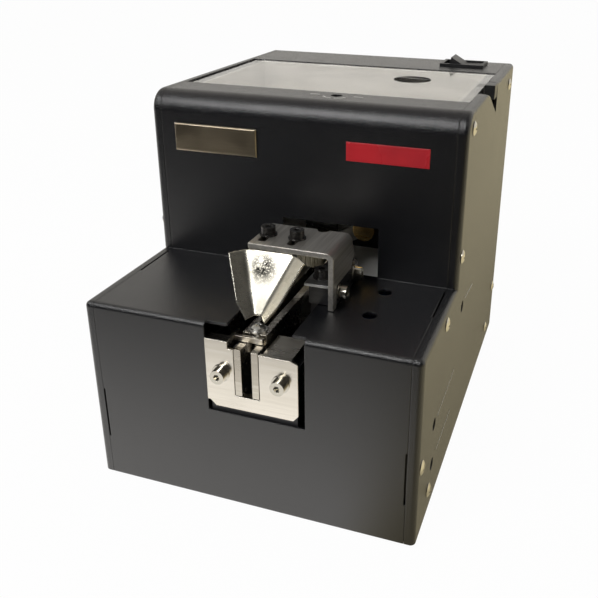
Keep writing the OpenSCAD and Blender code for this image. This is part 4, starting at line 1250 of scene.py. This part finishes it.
    def _side_rules(self) -> None:
        """Prints the rules on the right panel."""
        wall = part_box("right_panel")[1].x + self.stand_off
        steps = self.points_along[0]
        share = np.linspace(0.0, 1.0, steps)[:, None]
        widths = np.full(steps, self.rule_width)
        for number, (start, end) in enumerate(self.rules, 1):
            path = np.array((wall, *start)) * (1 - share) + np.array((wall, *end)) * share
            self._stroke(f"side_rule_{number}", path, (1, 0, 0), widths)

    def _lock_marks(self) -> None:
        """Prints the turning marks and the bars at the gate lock.

        A turning mark is an arc whose width grows evenly over its head and is plain after it.
        """
        low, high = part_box("gate_lock_screw")
        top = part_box("front_shell")[1].z + self.stand_off
        middle = np.array(((low.x + high.x) / 2, (low.y + high.y) / 2, top))
        _, turn_steps, bar_steps = self.points_along
        share = np.linspace(0.0, 1.0, turn_steps)
        foot, point = self.head_widths
        head = foot * share / self.head_share + point
        widths = np.where(share < self.head_share, head, self.turn_width)
        for number, (start, end) in enumerate(self.turns, 1):
            angle = np.radians(np.linspace(start, end, turn_steps))
            arc = np.stack((np.cos(angle), np.sin(angle), 0 * angle), axis=1)
            path = middle + self.turn_radius * arc
            self._stroke(f"lock_mark_{number}", path, (0, 0, 1), widths)
        along = np.linspace(-self.bar_half, self.bar_half, bar_steps)
        for number, reach in enumerate((-self.bar_reach, self.bar_reach), 1):
            path = middle + np.stack((reach + along, 0 * along, 0 * along), axis=1)
            self._stroke(f"lock_bar_{number}", path, (0, 0, 1), np.full(bar_steps, self.bar_width))

    def shape(self) -> None:
        """Makes both bare plates and prints the strokes."""
        self._plate("badge_plate", "badge_face", "badge_metal", self.badge_bevel)
        self._plate("label_plate", "label_face", "label_red", self.label_bevel)
        self._side_rules()
        self._lock_marks()


@dataclass
class LidAndHopper(SubAssembly):
    """The clear lid on its pins, and the hopper under it, in a paler copy of its zinc sheet that is
    painted light inside it.
    """

    nodes: tuple[str, ...] = ("lid", "lid_pull", "lid_hinge_pins", "hopper")
    special: dict[str, str] = field(default_factory=lambda: {"hopper": "hopper_painted_light_sheet"})


@dataclass
class ScoopDrive(SubAssembly):
    """The scoop on its rods, and the motor, gears, crank and link that lift it."""

    nodes: tuple[str, ...] = (
        "scoop", "scoop_guide_rods", "scoop_link", "crank", "drive_gear", "drive_bracket",
        "gear_motor", "motor_pinion",
    )


@dataclass
class RailUnit(SubAssembly):
    """The shaken rail with its carriage, magnet and sensor, and the first screw in it."""

    nodes: tuple[str, ...] = (
        "rail_left", "rail_right", "rail_carriage", "rail_guide_rods", "rail_pedestals",
        "vibration_magnet", "armature", "pickup_sensor", "fed_screw", "stopper",
    )
    special: dict[str, str] = field(default_factory=lambda: {"fed_screw": "screw_plate"})


@dataclass
class GateUnit(SubAssembly):
    """The gate behind the window and its lock screw."""

    nodes: tuple[str, ...] = ("gate_plate", "gate_block", "gate_lock_screw")


@dataclass
class Controls(SubAssembly):
    """The board with its trimmers, the switch and the power jack."""

    nodes: tuple[str, ...] = (
        "control_board", "board_standoffs", "trimmer_bodies", "brush_trimmer", "shake_trimmer",
        "sensor_trimmer", "switch_body", "switch_rocker", "dc_jack",
    )


def main() -> None:
    """Builds the studio and each sub-assembly in order, and notes the sizes.

    Raises:
        ValueError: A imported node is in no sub-assembly, or in two.
    """
    logging.basicConfig(level=logging.INFO, format="%(name)s: %(message)s")
    Studio().build()
    parts: tuple[SubAssembly, ...] = (
        FrontUnit(), BrushUnit(), Housing(), LidAndHopper(), ScoopDrive(), RailUnit(),
        GateUnit(), Controls(),
    )
    grouped = sorted(node for part in parts for node in part.nodes)
    if grouped != sorted(part["node"] for part in frame["record"]["subparts"]):
        raise ValueError("a packed node is in no sub-assembly, or in two")
    for part in parts:
        part.dress()
        LOG.info("dressed %s: %d nodes", type(part).__name__, len(part.nodes))
    for part in parts:
        part.shape()


if __name__ == "__main__":
    main()
